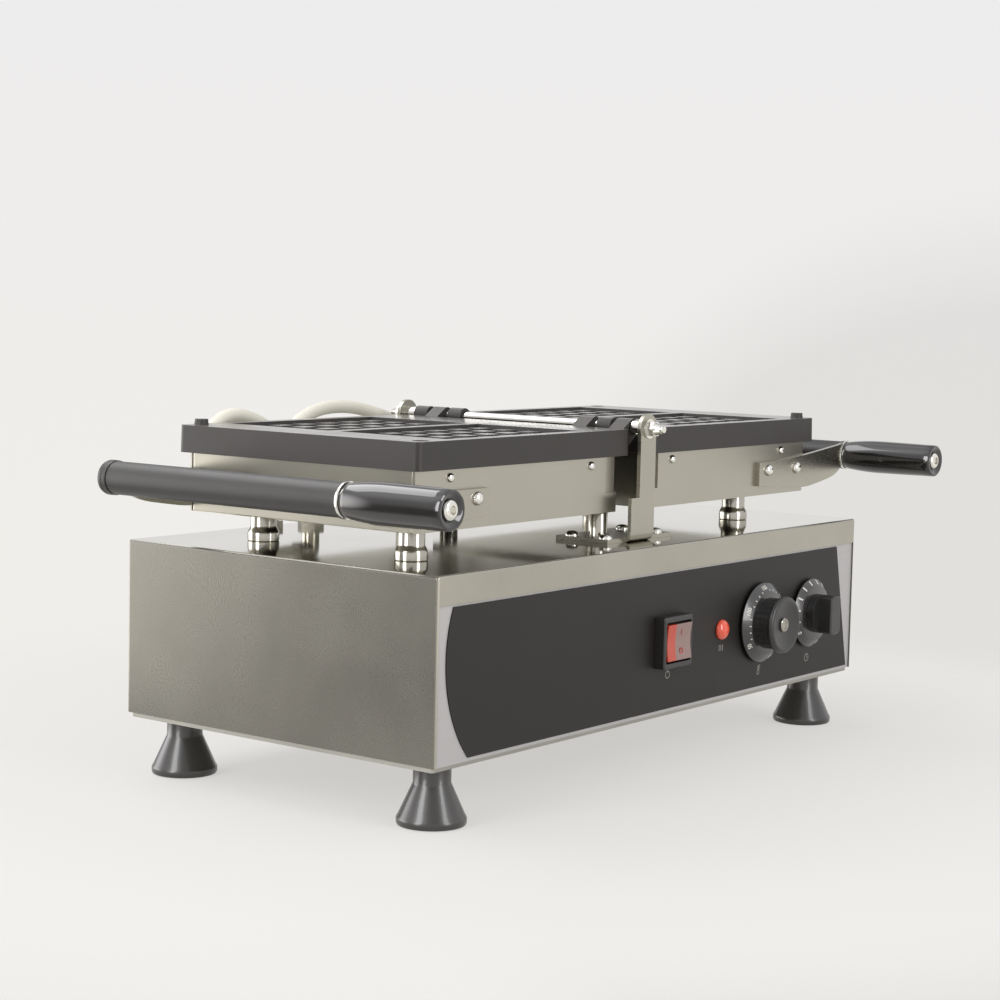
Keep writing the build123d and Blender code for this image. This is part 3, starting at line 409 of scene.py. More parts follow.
# Silver lacquer on the front sheet, a pale matt band at both ends of the film
PANEL_LACQUER = Finish(
    "silver_lacquer", "#a3a1a0", 0.45, 0.15, grain_mm=(0.4, 0.4, 0.4), bump=0.08, shade=0.03
)
# Cut and bent strip with a faint long grain
ARM_STEEL = Finish(
    "stainless_strip", "#a5a297", 0.26, 1.0, grain_mm=(4.0, 4.0, 0.5), bump=0.06, shade=0.05
)
# Polished stainless: shaft, bolts, nuts and rings mirror the room
POLISHED_STEEL = Finish(
    "polished_stainless", "#dcdad3", 0.09, 1.0, grain_mm=(0.8, 0.8, 0.8), bump=0.02,
    smudge_mm=8.0, smudge=0.04, shade=0.03,
)
# Turned stainless: the posts and studs mirror the room a little softly
TURNED_STEEL = Finish(
    "turned_stainless", "#aaa79e", 0.15, 1.0, grain_mm=(1.5, 1.5, 0.2), bump=0.05,
    smudge_mm=8.0, smudge=0.04, shade=0.03,
)
# Grey iron, sand cast and seasoned: a fine pebble, with the flat land glossier and lighter, its lighter
# colour a painted sheen
CAST_IRON = ZonedFinish(
    "seasoned_cast_iron", "#231f1c", 0.52, grain_mm=(0.9, 0.9, 0.9), bump=0.9,
    smudge_mm=25.0, smudge=0.08, shade=0.1, limit_mm=240.5,
    other_colour="#6d6a65", other_roughness=0.2, other_metallic=0.35, other_bump=0.05,
)
# Polyester film, near black and softly matt
OVERLAY_FILM = Finish(
    "polyester_film", "#16120f", 0.5, 0.0, ior=1.42, grain_mm=(0.5, 0.5, 0.5), bump=0.06,
    smudge=0.04,
)
# Moulded nylon feet with a slight gloss
FOOT_NYLON = Finish(
    "moulded_nylon", "#24221f", 0.32, 0.0, ior=1.6, grain_mm=(0.7, 0.7, 0.7), bump=0.05, coat=0.3
)
# Phenolic grip, polished after moulding
GRIP_PHENOLIC = Finish(
    "polished_phenolic", "#1a1817", 0.1, 0.0, ior=1.6, grain_mm=(1.2, 1.2, 1.2), bump=0.02,
    smudge_mm=20.0, smudge=0.04, coat=0.3,
)
# Powder-coated sleeve: black with a fine pebble
SLEEVE_COATING = Finish(
    "powder_coating", "#272523", 0.4, 0.0, grain_mm=(0.5, 0.5, 0.5), bump=0.25, smudge=0.06
)
# Phenolic knobs and the switch bezel: black, moulded, half matt
KNOB_PHENOLIC = Finish(
    "moulded_phenolic", "#1b1a19", 0.38, 0.0, ior=1.6, grain_mm=(0.6, 0.6, 0.6), bump=0.08
)
# Dial rims, glossier, so that the bevel catches the light
DIAL_PHENOLIC = Finish(
    "dial_phenolic", "#211f1e", 0.25, 0.0, ior=1.6, bump=0.0, smudge=0.02, shade=0.02, coat=0.4
)
# Off-white ink on the dials
PRINT_INK = Finish("white_ink", "#c9c7c0", 0.5, 0.0, bump=0.03)
# Translucent red polycarbonate, glossy
LAMP_RED = Finish(
    "red_polycarbonate", "#cf492d", 0.16, 0.0, ior=1.58, grain_mm=(2.0, 2.0, 2.0), bump=0.02, coat=0.5
)
# The rocker's part right of its line is glossier, and its paler colour is a painted reflection of the lit
# room
ROCKER_RED = SplitFinish(
    "rocker_polycarbonate", "#a8341d", 0.2, grain_mm=(2.0, 2.0, 2.0), bump=0.02,
    coat=0.3, limit_mm=-9.0, other_colour="#7a605a", other_roughness=0.1,
)
# Ink of the on and off strokes, hardly lighter than the rocker
ROCKER_MARK = Finish("rocker_ink", "#a63a2a", 0.4)
# Pale symbols printed on the film
SYMBOL_INK = Finish("symbol_ink", "#86837c", 0.5)
# Turned aluminium disc in the knob's face
CAP_ALUMINIUM = Finish("turned_aluminium", "#a09d95", 0.25, 1.0, grain_mm=(0.4, 0.4, 0.4), bump=0.08)
# Galvanised pan below the cabinet
PAN_STEEL = Finish("galvanised_pan", "#a19f98", 0.42, 1.0, grain_mm=(2.0, 2.0, 2.0), bump=0.06)
# Smooth silver-beige sheath over a spiral core
CONDUIT_SHEATH = Finish(
    "conduit_sheath", "#bbb7aa", 0.22, 0.85, grain_mm=(1.5, 1.5, 1.5), bump=0.05, shade=0.05
)
# Nickel-plated brass fittings
NICKEL_PLATE = Finish("nickel_plate", "#b3afa3", 0.2, 1.0, grain_mm=(1.0, 1.0, 1.0), bump=0.05)
# Heat-tinted steel, mineral fibre and plain mouldings out of sight
HEATER_STEEL = Finish("heat_tinted_steel", "#5d5648", 0.4, 1.0)
MINERAL_FIBRE = Finish("mineral_fibre", "#d3cdb9", 0.9, 0.0, grain_mm=(1.5, 1.5, 1.5), bump=0.8)
BLOCK_NYLON = Finish("white_nylon", "#d8d5cc", 0.5)
PLATED_CASE = Finish("zinc_plate", "#a8a69c", 0.35, 1.0)

NODE_FINISHES = {
    CABINET_STEEL: ("cabinet_cover", "rear_panel"),
    PAN_STEEL: ("bottom_pan",),
    PANEL_LACQUER: ("front_panel",),
    OVERLAY_FILM: ("control_overlay",),
    POLISHED_STEEL: ("bracket_bolts", "hinge_shaft", "shaft_spacers", "shaft_nuts", "foot_screws"),
    TURNED_STEEL: ("rest_posts", "support_studs"),
    CAP_ALUMINIUM: ("temperature_cap",),
    ARM_STEEL: ("hinge_brackets",),
    FOOT_NYLON: ("feet",),
    NICKEL_PLATE: ("deck_fittings",),
    KNOB_PHENOLIC: ("switch_body", "mains_inlet", "temperature_grip", "timer_grip"),
    DIAL_PHENOLIC: ("temperature_dial", "timer_dial"),
    ROCKER_RED: ("switch_rocker",),
    LAMP_RED: ("indicator_lamp",),
    PLATED_CASE: ("thermostat", "timer_body"),
    BLOCK_NYLON: ("terminal_block",),
    CONDUIT_SHEATH: ("left_conduit", "right_conduit"),
}
UNIT_FINISHES = {
    CAST_IRON: ("grid_plate",),
    HOUSING_STEEL: ("housing", "housing_covers"),
    ARM_STEEL: ("handle_arms",),
    POLISHED_STEEL: ("housing_screws", "handle_rod", "handle_ring", "handle_screw"),
    HEATER_STEEL: ("heater", "clamp_plate"),
    MINERAL_FIBRE: ("insulation",),
    SLEEVE_COATING: ("handle_sleeve",),
    GRIP_PHENOLIC: ("handle_grip",),
    NICKEL_PLATE: ("conduit_elbow",),
}


# Mesh tools


def clear_selection() -> None:
    """Deselect everything, so that the next operator acts on one piece."""
    if bpy.context.object is not None and bpy.context.object.mode != "OBJECT":
        bpy.ops.object.mode_set(mode="OBJECT")
    bpy.ops.object.select_all(action="DESELECT")


def pick(piece: Piece) -> None:
    """Select one piece alone and make it active.

    Args:
        piece: The mesh or curve object.
    """
    clear_selection()
    piece.hide_viewport = False
    piece.select_set(True)
    bpy.context.view_layer.objects.active = piece


def dress(piece: Piece, finish: Finish) -> None:
    """Give a piece one finish all over."""
    piece.data.materials.clear()
    piece.data.materials.append(finish.build())


def apply_modifier(piece: Piece, kind: str, **settings: object) -> None:
    """Add a modifier with its settings and apply it.

    Args:
        piece: The mesh object.
        kind: The modifier's type.
        settings: Its properties.
    """
    pick(piece)
    modifier = piece.modifiers.new(kind.lower(), kind)
    for key, value in settings.items():
        setattr(modifier, key, value)
    bpy.ops.object.modifier_apply(modifier=modifier.name)


def smooth(piece: Piece, degrees: float = SMOOTH_DEGREES) -> None:
    """Shade a piece smooth except across its sharp edges."""
    pick(piece)
    bpy.ops.object.shade_smooth_by_angle(angle=math.radians(degrees))


def freeze() -> None:
    """Apply the active piece's place, turn and scale to its mesh."""
    bpy.ops.object.transform_apply(location=True, rotation=True, scale=True)


def settle(piece: Piece, place: Matrix) -> None:
    """Put a modelled piece in place through its mesh, so its object stays at the origin.

    Args:
        piece: The mesh object.
        place: Where it goes.
    """
    piece.data.transform(piece.matrix_basis)
    piece.matrix_basis = Matrix.Identity(4)
    piece.data.transform(place)
    piece.data.update()


def placing(centre: Point | Vector, facing: Facing) -> Matrix:
    """Return the matrix that takes a piece's own +Z to a direction at a place."""
    turn = Vector(facing.value).to_track_quat("Z", "Y").to_matrix().to_4x4()
    return Matrix.Translation(centre) @ turn


def softened(node: str, name: str, width_mm: float, finish: Finish, segments: int = 2) -> Piece:
    """Copy a CAD node, merge its triangles into clean faces and round its edges.

    Args:
        node: The CAD node.
        name: The new piece's name.
        width_mm: How far the rounding reaches from each edge.
        finish: Its finish.
        segments: Faces across the rounding.

    Returns:
        The new piece, which stands for the node and rides on its body.
    """
    source = frame["nodes"][node]
    piece = source.copy()
    piece.data = source.data.copy()
    piece.name = name
    bpy.context.scene.collection.objects.link(piece)
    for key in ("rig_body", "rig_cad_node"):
        del piece[key]
    body = source["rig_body"]
    piece.parent = None
    pick(piece)
    bpy.ops.object.mode_set(mode="EDIT")
    bpy.ops.mesh.select_all(action="SELECT")
    bpy.ops.mesh.customdata_custom_splitnormals_clear()
    bpy.ops.mesh.remove_doubles(threshold=MERGE_REACH)
    bpy.ops.mesh.dissolve_limited(angle_limit=math.radians(FLAT_DEGREES))
    bpy.ops.object.mode_set(mode="OBJECT")
    apply_modifier(
        piece, "BEVEL", width=width_mm * MM, segments=segments, limit_method="ANGLE",
        angle_limit=math.radians(EDGE_DEGREES), use_clamp_overlap=True,
    )
    smooth(piece)
    apply_modifier(piece, "WEIGHTED_NORMAL", mode="FACE_AREA", weight=100, keep_sharp=True)
    dress(piece, finish)
    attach(piece, body)
    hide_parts(node)
    report(piece)
    return piece


def turned(name: str, rings: list[Ring], segments: int = FACES_USUAL) -> Piece:
    """Turn a round piece about +Z by extruding and scaling a disc ring by ring.

    Args:
        name: The piece's name.
        rings: Radius and height of each ring in millimetres, from the base up.
        segments: Faces round the piece.

    Returns:
        The closed mesh, standing at the origin.
    """
    clear_selection()
    radius, height = rings[0]
    bpy.ops.mesh.primitive_circle_add(
        vertices=segments, radius=radius * MM, fill_type="NGON", location=(0, 0, height * MM)
    )
    piece = bpy.context.object
    piece.name = name
    freeze()
    bpy.ops.object.mode_set(mode="EDIT")
    bpy.ops.mesh.select_all(action="SELECT")
    for next_radius, next_height in rings[1:]:
        rise = (next_height - height) * MM
        bpy.ops.mesh.extrude_region_move(TRANSFORM_OT_translate={"value": (0, 0, rise)})
        share = next_radius / radius
        bpy.ops.transform.resize(
            value=(share, share, 1), center_override=(0, 0, next_height * MM)
        )
        radius, height = next_radius, next_height
    bpy.ops.mesh.select_all(action="SELECT")
    bpy.ops.mesh.normals_make_consistent(inside=False)
    bpy.ops.object.mode_set(mode="OBJECT")
    smooth(piece)
    return piece


def widest(rings: list[Ring]) -> float:
    """Return the largest radius of a turned piece in metres."""
    return max(radius for radius, _ in rings) * MM


def rounded(start: Ring, end: Ring, bulge: float, steps: int = 8) -> list[Ring]:
    """Find rings along an arc between two rings.

    Args:
        start: First ring, left out of the result.
        end: Last ring.
        bulge: How far the arc's middle stands off the chord, outwards if positive.
        steps: Rings in the result.

    Returns:
        The rings after the first.
    """
    along = Vector((end[0] - start[0], end[1] - start[1]))
    out = Vector((along.y, -along.x)).normalized()
    rings = []
    for step in range(1, steps + 1):
        share = step / steps
        point = Vector(start) + along * share + out * bulge * 4 * share * (1 - share)
        rings.append((point.x, point.y))
    return rings


def joined(pieces: list[Piece], name: str) -> Piece:
    """Join pieces into one object under a name.

    Args:
        pieces: One or more mesh objects, the first of which takes in the rest.
        name: The joined object's name.

    Returns:
        The joined object.
    """
    clear_selection()
    for piece in pieces:
        piece.select_set(True)
    bpy.context.view_layer.objects.active = pieces[0]
    if len(pieces) > 1:
        bpy.ops.object.join()
    pieces[0].name = name
    return pieces[0]


def copies(piece: Piece, places: list[Matrix], name: str) -> Piece:
    """Put a copy of a modelled piece, each with its own mesh, at every place and join them.

    Args:
        piece: The model, which is used up.
        places: Where the copies go.
        name: The joined object's name.

    Returns:
        The joined object.
    """
    made = []
    for place in places:
        twin = piece.copy()
        twin.data = piece.data.copy()
        bpy.context.scene.collection.objects.link(twin)
        settle(twin, place)
        made.append(twin)
    bpy.data.objects.remove(piece)
    return joined(made, name)


def stand_in(piece: Piece, node: str, finish: Finish) -> None:
    """Let a new piece stand for a CAD node on the node's own body.

    Args:
        piece: The new piece.
        node: The CAD node that it replaces.
        finish: Its finish.
    """
    dress(piece, finish)
    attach(piece, frame["nodes"][node]["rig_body"])
    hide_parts(node)
    report(piece)


def lettering(text: str, size_mm: float, name: str) -> Piece:
    """Make flat, slightly raised characters centred on the origin.

    Args:
        text: The characters.
        size_mm: Their height.
        name: The object's name.

    Returns:
        The mesh, facing +Z.
    """
    clear_selection()
    bpy.ops.object.text_add()
    piece = bpy.context.object
    piece.name = name
    piece.data.body = text
    piece.data.size = size_mm * MM * FONT_SHARE
    piece.data.extrude = PRINT_HEIGHT
    piece.data.offset = STROKE_SPREAD
    piece.data.align_x = "CENTER"
    piece.data.align_y = "CENTER"
    bpy.ops.object.convert(target="MESH")
    return bpy.context.object


def slab(name: str, width_mm: float, height_mm: float) -> Piece:
    """Model a thin printed bar centred on the origin, facing +Z.

    Args:
        name: The bar's name.
        width_mm: Its size along X.
        height_mm: Its size along Y.

    Returns:
        The bar.
    """
    clear_selection()
    bpy.ops.mesh.primitive_cube_add(size=1)
    piece = bpy.context.object
    piece.name = name
    piece.scale = (width_mm * MM, height_mm * MM, 2 * PRINT_HEIGHT)
    freeze()
    return piece


def centre_of(node: str) -> Vector:
    """Return the middle of a CAD node's box."""
    low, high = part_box(node)
    return (low + high) / 2


def report(piece: Piece) -> None:
    """Log one finished piece with its face count."""
    LOG.info("%s: %d faces", piece.name, len(piece.data.polygons))


# Sub-assemblies


@dataclass
class Cabinet:
    """Steel cabinet with its panels, feet and posts."""

    edge_mm: float = 0.35
    lip_slope: float = 0.7
    stud_radius_mm: float = 7.0
    stud_edge_mm: float = 0.9
    post_row_shift_mm: float = 5.5
    post_rings: list[Ring] = field(
        default_factory=lambda: [
            (10.4, 0), (11, 0.6), (11, 5.5), (10.85, 6.2), (10.4, 7.2), (9.7, 8.4),
            (9.2, 9.4), (9, 10.4), (9, 19.6), (8.7, 20.6), (8.1, 21),
        ]
    )
    foot_rings: list[Ring] = field(
        default_factory=lambda: [
            (6.8, 22), (6.8, 1), (7.4, 0.1), (20.6, 0.1), (22.1, 0.5), (22.7, 1.6), (22.7, 4.6),
            (22.3, 5.5), (21.3, 7.2), (12.8, 26), (12.3, 27.2), (12.3, 40.3),
        ]
    )

    def build(self) -> None:
        """Dress the sheets and model the turned pieces."""
        cover = softened("cabinet_cover", "cabinet_shell", self.edge_mm, CABINET_STEEL)
        self.paint_lip_light(cover)
        self.posts()
        self.feet()
        self.studs()

    def paint_lip_light(self, cover: Piece) -> None:
        """Give the faces that look forward or back the lips' brighter colour, which is painted light.

        Args:
            cover: The cabinet's sheet.
        """
        # Faces that look forward or back get the brighter copy of the steel: painted light
        cover.data.materials.append(LIT_LIP_STEEL.build())
        for face in cover.data.polygons:
            if abs(face.normal.y) > self.lip_slope:
                face.material_index = 1

    def posts(self) -> None:
        """Model the four bottle-shaped rest posts."""
        low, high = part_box("rest_posts")
        reach = widest(self.post_rings)
        base = high.z - self.post_rings[-1][1] * MM
        shift = 2 * self.post_row_shift_mm * MM
        places = [
            placing((x, y, base), Facing.UP)
            for x, y in (
                (low.x + reach, low.y + reach),
                (low.x + reach + shift, high.y - reach),
                (high.x - reach - shift, low.y + reach),
                (high.x - reach, high.y - reach),
            )
        ]
        posts = copies(turned("post", self.post_rings), places, "posts")
        stand_in(posts, "rest_posts", TURNED_STEEL)

    def feet(self) -> None:
        """Model the four conical feet, bored from below."""
        low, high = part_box("feet")
        reach = widest(self.foot_rings)
        places = [
            placing((x, y, 0), Facing.UP)
            for x in (low.x + reach, high.x - reach)
            for y in (low.y + reach, high.y - reach)
        ]
        feet = copies(turned("foot", self.foot_rings), places, "conical_feet")
        stand_in(feet, "feet", FOOT_NYLON)

    def studs(self) -> None:
        """Model the two plain support studs on the bracket feet."""
        low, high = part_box("support_studs")
        rise = (high.z - low.z) / MM
        radius, edge = self.stud_radius_mm, self.stud_edge_mm
        rings = [(radius, 0), (radius, rise - edge)]
        rings += [(radius - edge / 3, rise - edge / 3), (radius - edge, rise)]
        reach = widest(rings)
        places = [
            placing((low.x + reach, low.y + reach, low.z), Facing.UP),
            placing((high.x - reach, high.y - reach, low.z), Facing.UP),
        ]
        studs = copies(turned("stud", rings), places, "deck_studs")
        stand_in(studs, "support_studs", TURNED_STEEL)


@dataclass
class Hinge:
    """Brackets, shaft, spacers, nuts and their bolts."""

    bracket_edge_mm: float = 0.45
    nut_edge_mm: float = 0.3
    bolt_columns_mm: Pair = (-34.0, 29.0)
    bolt_rows_mm: Pair = (72.0, 101.0)
    shaft_mm: float = 4.0
    shaft_step_mm: float = 109.5
    thread_mm: Point = (2.4, 2.6, 3.0)
    pitch_mm: float = 1.0
    bolt_rings: list[Ring] = field(
        default_factory=lambda: [
            (5, 0), (5, 0.7), (4.75, 1.4), (4.2, 2.2), (3.3, 2.95), (2.1, 3.4), (0.6, 3.6),
        ]
    )

    def build(self) -> None:
        """Model the hinge's fixed pieces."""
        softened("hinge_brackets", "brackets", self.bracket_edge_mm, ARM_STEEL)
        self.bolts()
        self.shaft()
        for node, name in (("shaft_nuts", "acorn_nuts"), ("shaft_spacers", "spacers")):
            softened(node, name, self.nut_edge_mm, POLISHED_STEEL)

    def bolts(self) -> None:
        """Model the eight dome-head bolts on the bracket feet."""
        low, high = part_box("bracket_bolts")
        seat = high.z - self.bolt_rings[-1][1] * MM
        centre = (low + high) / 2
        places = []
        for way in (1, -1):
            for x in self.bolt_columns_mm:
                for y in self.bolt_rows_mm:
                    spot = (centre.x + way * x * MM, centre.y - way * y * MM, seat)
                    places.append(placing(spot, Facing.UP))
        bolts = copies(turned("bolt", self.bolt_rings, FACES_SMALL), places, "dome_bolts")
        stand_in(bolts, "bracket_bolts", POLISHED_STEEL)

    def shaft(self) -> None:
        """Model the hinge shaft with threads on its stepped ends."""
        low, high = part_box("hinge_shaft")
        middle = (low + high) / 2
        half = (high.y - low.y) / 2 / MM
        step = self.shaft_step_mm
        tip, root, crest = self.thread_mm
        rings = [(tip, -half)]
        for turn in range(int((half - step) / self.pitch_mm) - 1):
            start = turn * self.pitch_mm - half
            rings += [(crest, start + 0.35 * self.pitch_mm), (root, start + 0.85 * self.pitch_mm)]
        rings += [(crest, -step - 0.2), (crest, -step), (self.shaft_mm, -step)]
        mirror = [(radius, -height) for radius, height in reversed(rings)]
        shaft = turned("shaft", rings + mirror, FACES_SLIM)
        settle(shaft, placing(middle, Facing.REAR))
        stand_in(shaft, "hinge_shaft", POLISHED_STEEL)


@dataclass
class PlateUnit:
    """One grid plate with its housing, arms and handle."""

    side: str
    plate_edge_mm: float = 0.9
    cap_mm: float = 5.0
    eye_mm: float = 12.6
    lap_mm: float = 1.2
    arm_mm: float = 3.5
    cover_face_mm: float = 99.3
    arm_face_mm: float = 102.8
    screw_columns_mm: Pair = (51.5, 208.0)
    screw_drop_mm: float = 6.0
    bolt_columns_mm: Pair = (184.0, 227.0)
    bolt_drop_mm: float = 20.5
    key_mm: Pair = (3.2, 4.4)
    screw_rings: list[Ring] = field(
        default_factory=lambda: [(3.1, 0), (3.1, 0.5), (2.9, 1.1), (2.4, 1.7), (1.6, 2.15), (0.5, 2.3)]
    )
    bolt_rings: list[Ring] = field(
        default_factory=lambda: [
            (4.7, 0), (4.7, 0.5), (4.5, 1.3), (3.9, 2.2), (2.9, 2.95), (1.7, 3.4), (0.5, 3.5),
        ]
    )

    def node(self, label: str) -> str:
        """Return the unit's own node name for a label."""
        return f"{self.side}_{label}"

    def build(self) -> None:
        """Model and dress every piece of the unit."""
        plate, casting = self.node("grid_plate"), self.node("waffle_casting")
        softened(plate, casting, self.plate_edge_mm, CAST_IRON, segments=3)
        for label, name, finish, width in (
            ("housing", "tray", HOUSING_STEEL, 0.4),
            ("housing_covers", "cover_sheets", HOUSING_STEEL, 0.3),
            ("handle_arms", "arms", ARM_STEEL, 0.5),
        ):
            piece = softened(self.node(label), self.node(name), width, finish)
            if label == "handle_arms":
                self.coat_eyes(piece)
        self.grip()
        self.ring()
        self.sleeve()
        self.socket_screw()
        self.screws()

    def axis(self) -> Pair:
        """Return X and Z of the handle's middle line."""
        low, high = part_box(self.node("handle_grip"))
        return (low.x + high.x) / 2, (low.z + high.z) / 2

    def grip(self) -> None:
        """Model the barrelled grip with its counterbored end."""
        low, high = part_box(self.node("handle_grip"))
        x, z = self.axis()
        length = (high.y - low.y) / MM
        end = length - 1.2
        swell = rounded((10.9, 0.5), (13.05, 30), 0.55) + rounded((13.05, 30), (12.5, end), 0.1)
        rings = [(10.5, 0), (10.9, 0.5), *swell, (12.2, length - 0.5), (11.4, length), (10.5, length)]
        rings += [(9.6, length - 0.4), (6.9, length - 2.1), (6.8, length - 3.1), (3.2, length - 3.1)]
        grip = turned("grip", rings, FACES_LARGE)
        self.place(grip, (x, high.y, z), Facing.FRONT, "grip", "handle_grip", GRIP_PHENOLIC)

    def ring(self) -> None:
        """Model the bright ring that laps over the sleeve's end."""
        low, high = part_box(self.node("handle_ring"))
        x, z = self.axis()
        wide = (high.y - low.y) / MM + self.lap_mm
        rings = [(11.2, 0), (11.7, 0.1), (11.85, 0.35), (11.85, wide - 0.35), (11.6, wide)]
        ring = turned("ring", [*rings, (10.4, wide)], FACES_LARGE)
        behind = (x, high.y + self.lap_mm * MM, z)
        self.place(ring, behind, Facing.FRONT, "ring", "handle_ring", POLISHED_STEEL)

    def sleeve(self) -> None:
        """Model the coated sleeve and the cap on its rear end."""
        low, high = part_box(self.node("handle_sleeve"))
        x, z = self.axis()
        body = (high.y - low.y) / MM - self.cap_mm - self.arm_mm
        rings = [(10.6, 0), (11, 0.4), (11, body - 0.4), (10.6, body)]
        sleeve = turned("sleeve", rings, FACES_LARGE)
        settle(sleeve, placing((x, low.y, z), Facing.REAR))
        rings = [(11.6, 0), (11.65, 0.2), (11.6, 2.4), (11.2, 3.5), (10.3, 4.4), (9, 4.9), (7.4, 5)]
        cap = turned("cap", rings, FACES_MIDDLE)
        settle(cap, placing((x, high.y - self.cap_mm * MM, z), Facing.REAR))
        both = joined([sleeve, cap], self.node("sleeve"))
        stand_in(both, self.node("handle_sleeve"), SLEEVE_COATING)

    def coat_eyes(self, arms: Piece) -> None:
        """Coat the arms' eyes black like the sleeve that they carry.

        Args:
            arms: Both arms of the unit.
        """
        low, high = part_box(self.node("handle_sleeve"))
        axis = (low + high) / 2
        arms.data.materials.append(SLEEVE_COATING.build())
        for face in arms.data.polygons:
            away = Vector((face.center.x - axis.x, face.center.z - axis.z)).length
            if away < self.eye_mm * MM:
                face.material_index = 1

    def socket_screw(self) -> None:
        """Model the domed screw with a six-sided socket in the grip's end."""
        low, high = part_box(self.node("handle_screw"))
        centre = (low + high) / 2
        radius = (high.x - low.x) / 2 / MM
        length = (high.y - low.y) / MM
        rings = [(3, 0), (3, length - 3), (radius - 0.2, length - 3), (radius, length - 2.8)]
        rings += [(radius, length - 1.9), (radius - 0.35, length - 1.2), (radius - 1.1, length - 0.6)]
        rings += [(radius - 2, length - 0.2), (radius - 2.9, length), (0.6, length)]
        head = turned("head", rings, FACES_MIDDLE)
        clear_selection()
        bpy.ops.mesh.primitive_cylinder_add(
            vertices=6, radius=self.key_mm[0] * MM, depth=self.key_mm[1] * MM,
            location=(0, 0, length * MM),
        )
        key = bpy.context.object
        apply_modifier(head, "BOOLEAN", operation="DIFFERENCE", object=key, solver="EXACT")
        bpy.data.objects.remove(key)
        spot = (centre.x, high.y, centre.z)
        self.place(head, spot, Facing.FRONT, "socket_screw", "handle_screw", POLISHED_STEEL)

    def place(
        self, piece: Piece, spot: Point, facing: Facing, name: str, label: str, finish: Finish
    ) -> None:
        """Put a turned piece of the handle in place.

        Args:
            piece: The turned piece.
            spot: Where its base goes.
            facing: Where its own +Z points.
            name: Its name within the unit.
            label: The CAD piece that it stands for.
            finish: Its finish.
        """
        settle(piece, placing(spot, facing))
        piece.name = self.node(name)
        stand_in(piece, self.node(label), finish)

    def screws(self) -> None:
        """Model the dome screws of the covers and the dome bolts of the arms."""
        sign = SIDES[self.side]
        low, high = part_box(self.node("housing_screws"))
        centre_y = (low.y + high.y) / 2
        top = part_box(self.node("housing"))[1].z
        small, large = [], []
        for facing, way in ((Facing.FRONT, -1), (Facing.REAR, 1)):
            for x in self.screw_columns_mm:
                face = centre_y + way * self.cover_face_mm * MM
                spot = (sign * x * MM, face, top - self.screw_drop_mm * MM)
                small.append(placing(spot, facing))
            for x in self.bolt_columns_mm:
                face = centre_y + way * self.arm_face_mm * MM
                spot = (sign * x * MM, face, top - self.bolt_drop_mm * MM)
                large.append(placing(spot, facing))
        heads = joined(
            [
                copies(turned("screw", self.screw_rings, FACES_SMALL), small, "small"),
                copies(turned("bolt", self.bolt_rings, FACES_SMALL), large, "large"),
            ],
            self.node("dome_screws"),
        )
        stand_in(heads, self.node("housing_screws"), POLISHED_STEEL)


@dataclass
class Conduit:
    """A smooth flexible conduit from the deck to one plate unit."""

    side: str
    route_mm: list[Point]
    radius_mm: float = 5.0
    around: int = 20
    smooth_degrees: float = 50.0
    steps: int = 12
    order: int = 3

    def build(self) -> None:
        """Model the tube along its route and let it bend with its plate unit."""
        middle = centre_of("hinge_shaft").y
        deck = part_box("cabinet_cover")[1].z
        points = [Vector((x * MM, middle + y * MM, deck + z * MM)) for x, y, z in self.route_mm]
        line = self.line(points)
        tube = self.tube(points)
        dress(tube, CONDUIT_SHEATH)
        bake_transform(tube, "base", f"{self.side}_plate", start=line[0], end=line[-1])
        self.share_bend(tube, line)
        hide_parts(f"{self.side}_conduit")
        report(tube)

    def spline(self, points: list[Vector], bevel: float) -> Piece:
        """Make the route's NURBS curve.

        Args:
            points: The route.
            bevel: The tube's radius in metres, or 0 for the bare line.

        Returns:
            The curve object.
        """
        curve = bpy.data.curves.new(f"{self.side}_route", "CURVE")
        curve.dimensions = "3D"
        curve.resolution_u = self.steps
        curve.bevel_depth = bevel
        curve.bevel_resolution = self.around // 4
        curve.use_fill_caps = True
        spline = curve.splines.new("NURBS")
        spline.points.add(len(points) - 1)
        for target, point in zip(spline.points, points):
            target.co = (*point, 1.0)
        spline.order_u = self.order
        spline.use_endpoint_u = True
        made = bpy.data.objects.new(f"{self.side}_route", curve)
        bpy.context.scene.collection.objects.link(made)
        return made

    def line(self, points: list[Vector]) -> list[Vector]:
        """Read the smooth line of the route.

        Args:
            points: The route.

        Returns:
            Points along its curve, from the deck to the plate unit.
        """
        route = self.spline(points, 0.0)
        mesh = bpy.data.meshes.new_from_object(route)
        line = [vertex.co.copy() for vertex in mesh.vertices]
        bpy.data.objects.remove(route)
        return line

    def tube(self, points: list[Vector]) -> Piece:
        """Model the tube as a mesh.

        Args:
            points: The route.

        Returns:
            The tube.
        """
        route = self.spline(points, self.radius_mm * MM)
        pick(route)
        bpy.ops.object.convert(target="MESH")
        tube = bpy.context.object
        tube.name = f"{self.side}_flexible_conduit"
        smooth(tube, self.smooth_degrees)
        return tube

    def share_bend(self, tube: Piece, line: list[Vector]) -> None:
        """Spread the bend evenly over the tube's length.

        Args:
            tube: The blended tube.
            line: Its centre-line from the deck to the plate unit.
        """
        shares = tube.data.attributes["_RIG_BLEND"].data
        last = len(line) - 1
        for vertex, share in zip(tube.data.vertices, shares):
            nearest = min(range(last + 1), key=lambda i: (line[i] - vertex.co).length_squared)
            along = nearest / last
            share.value = along * along * (3 - 2 * along)


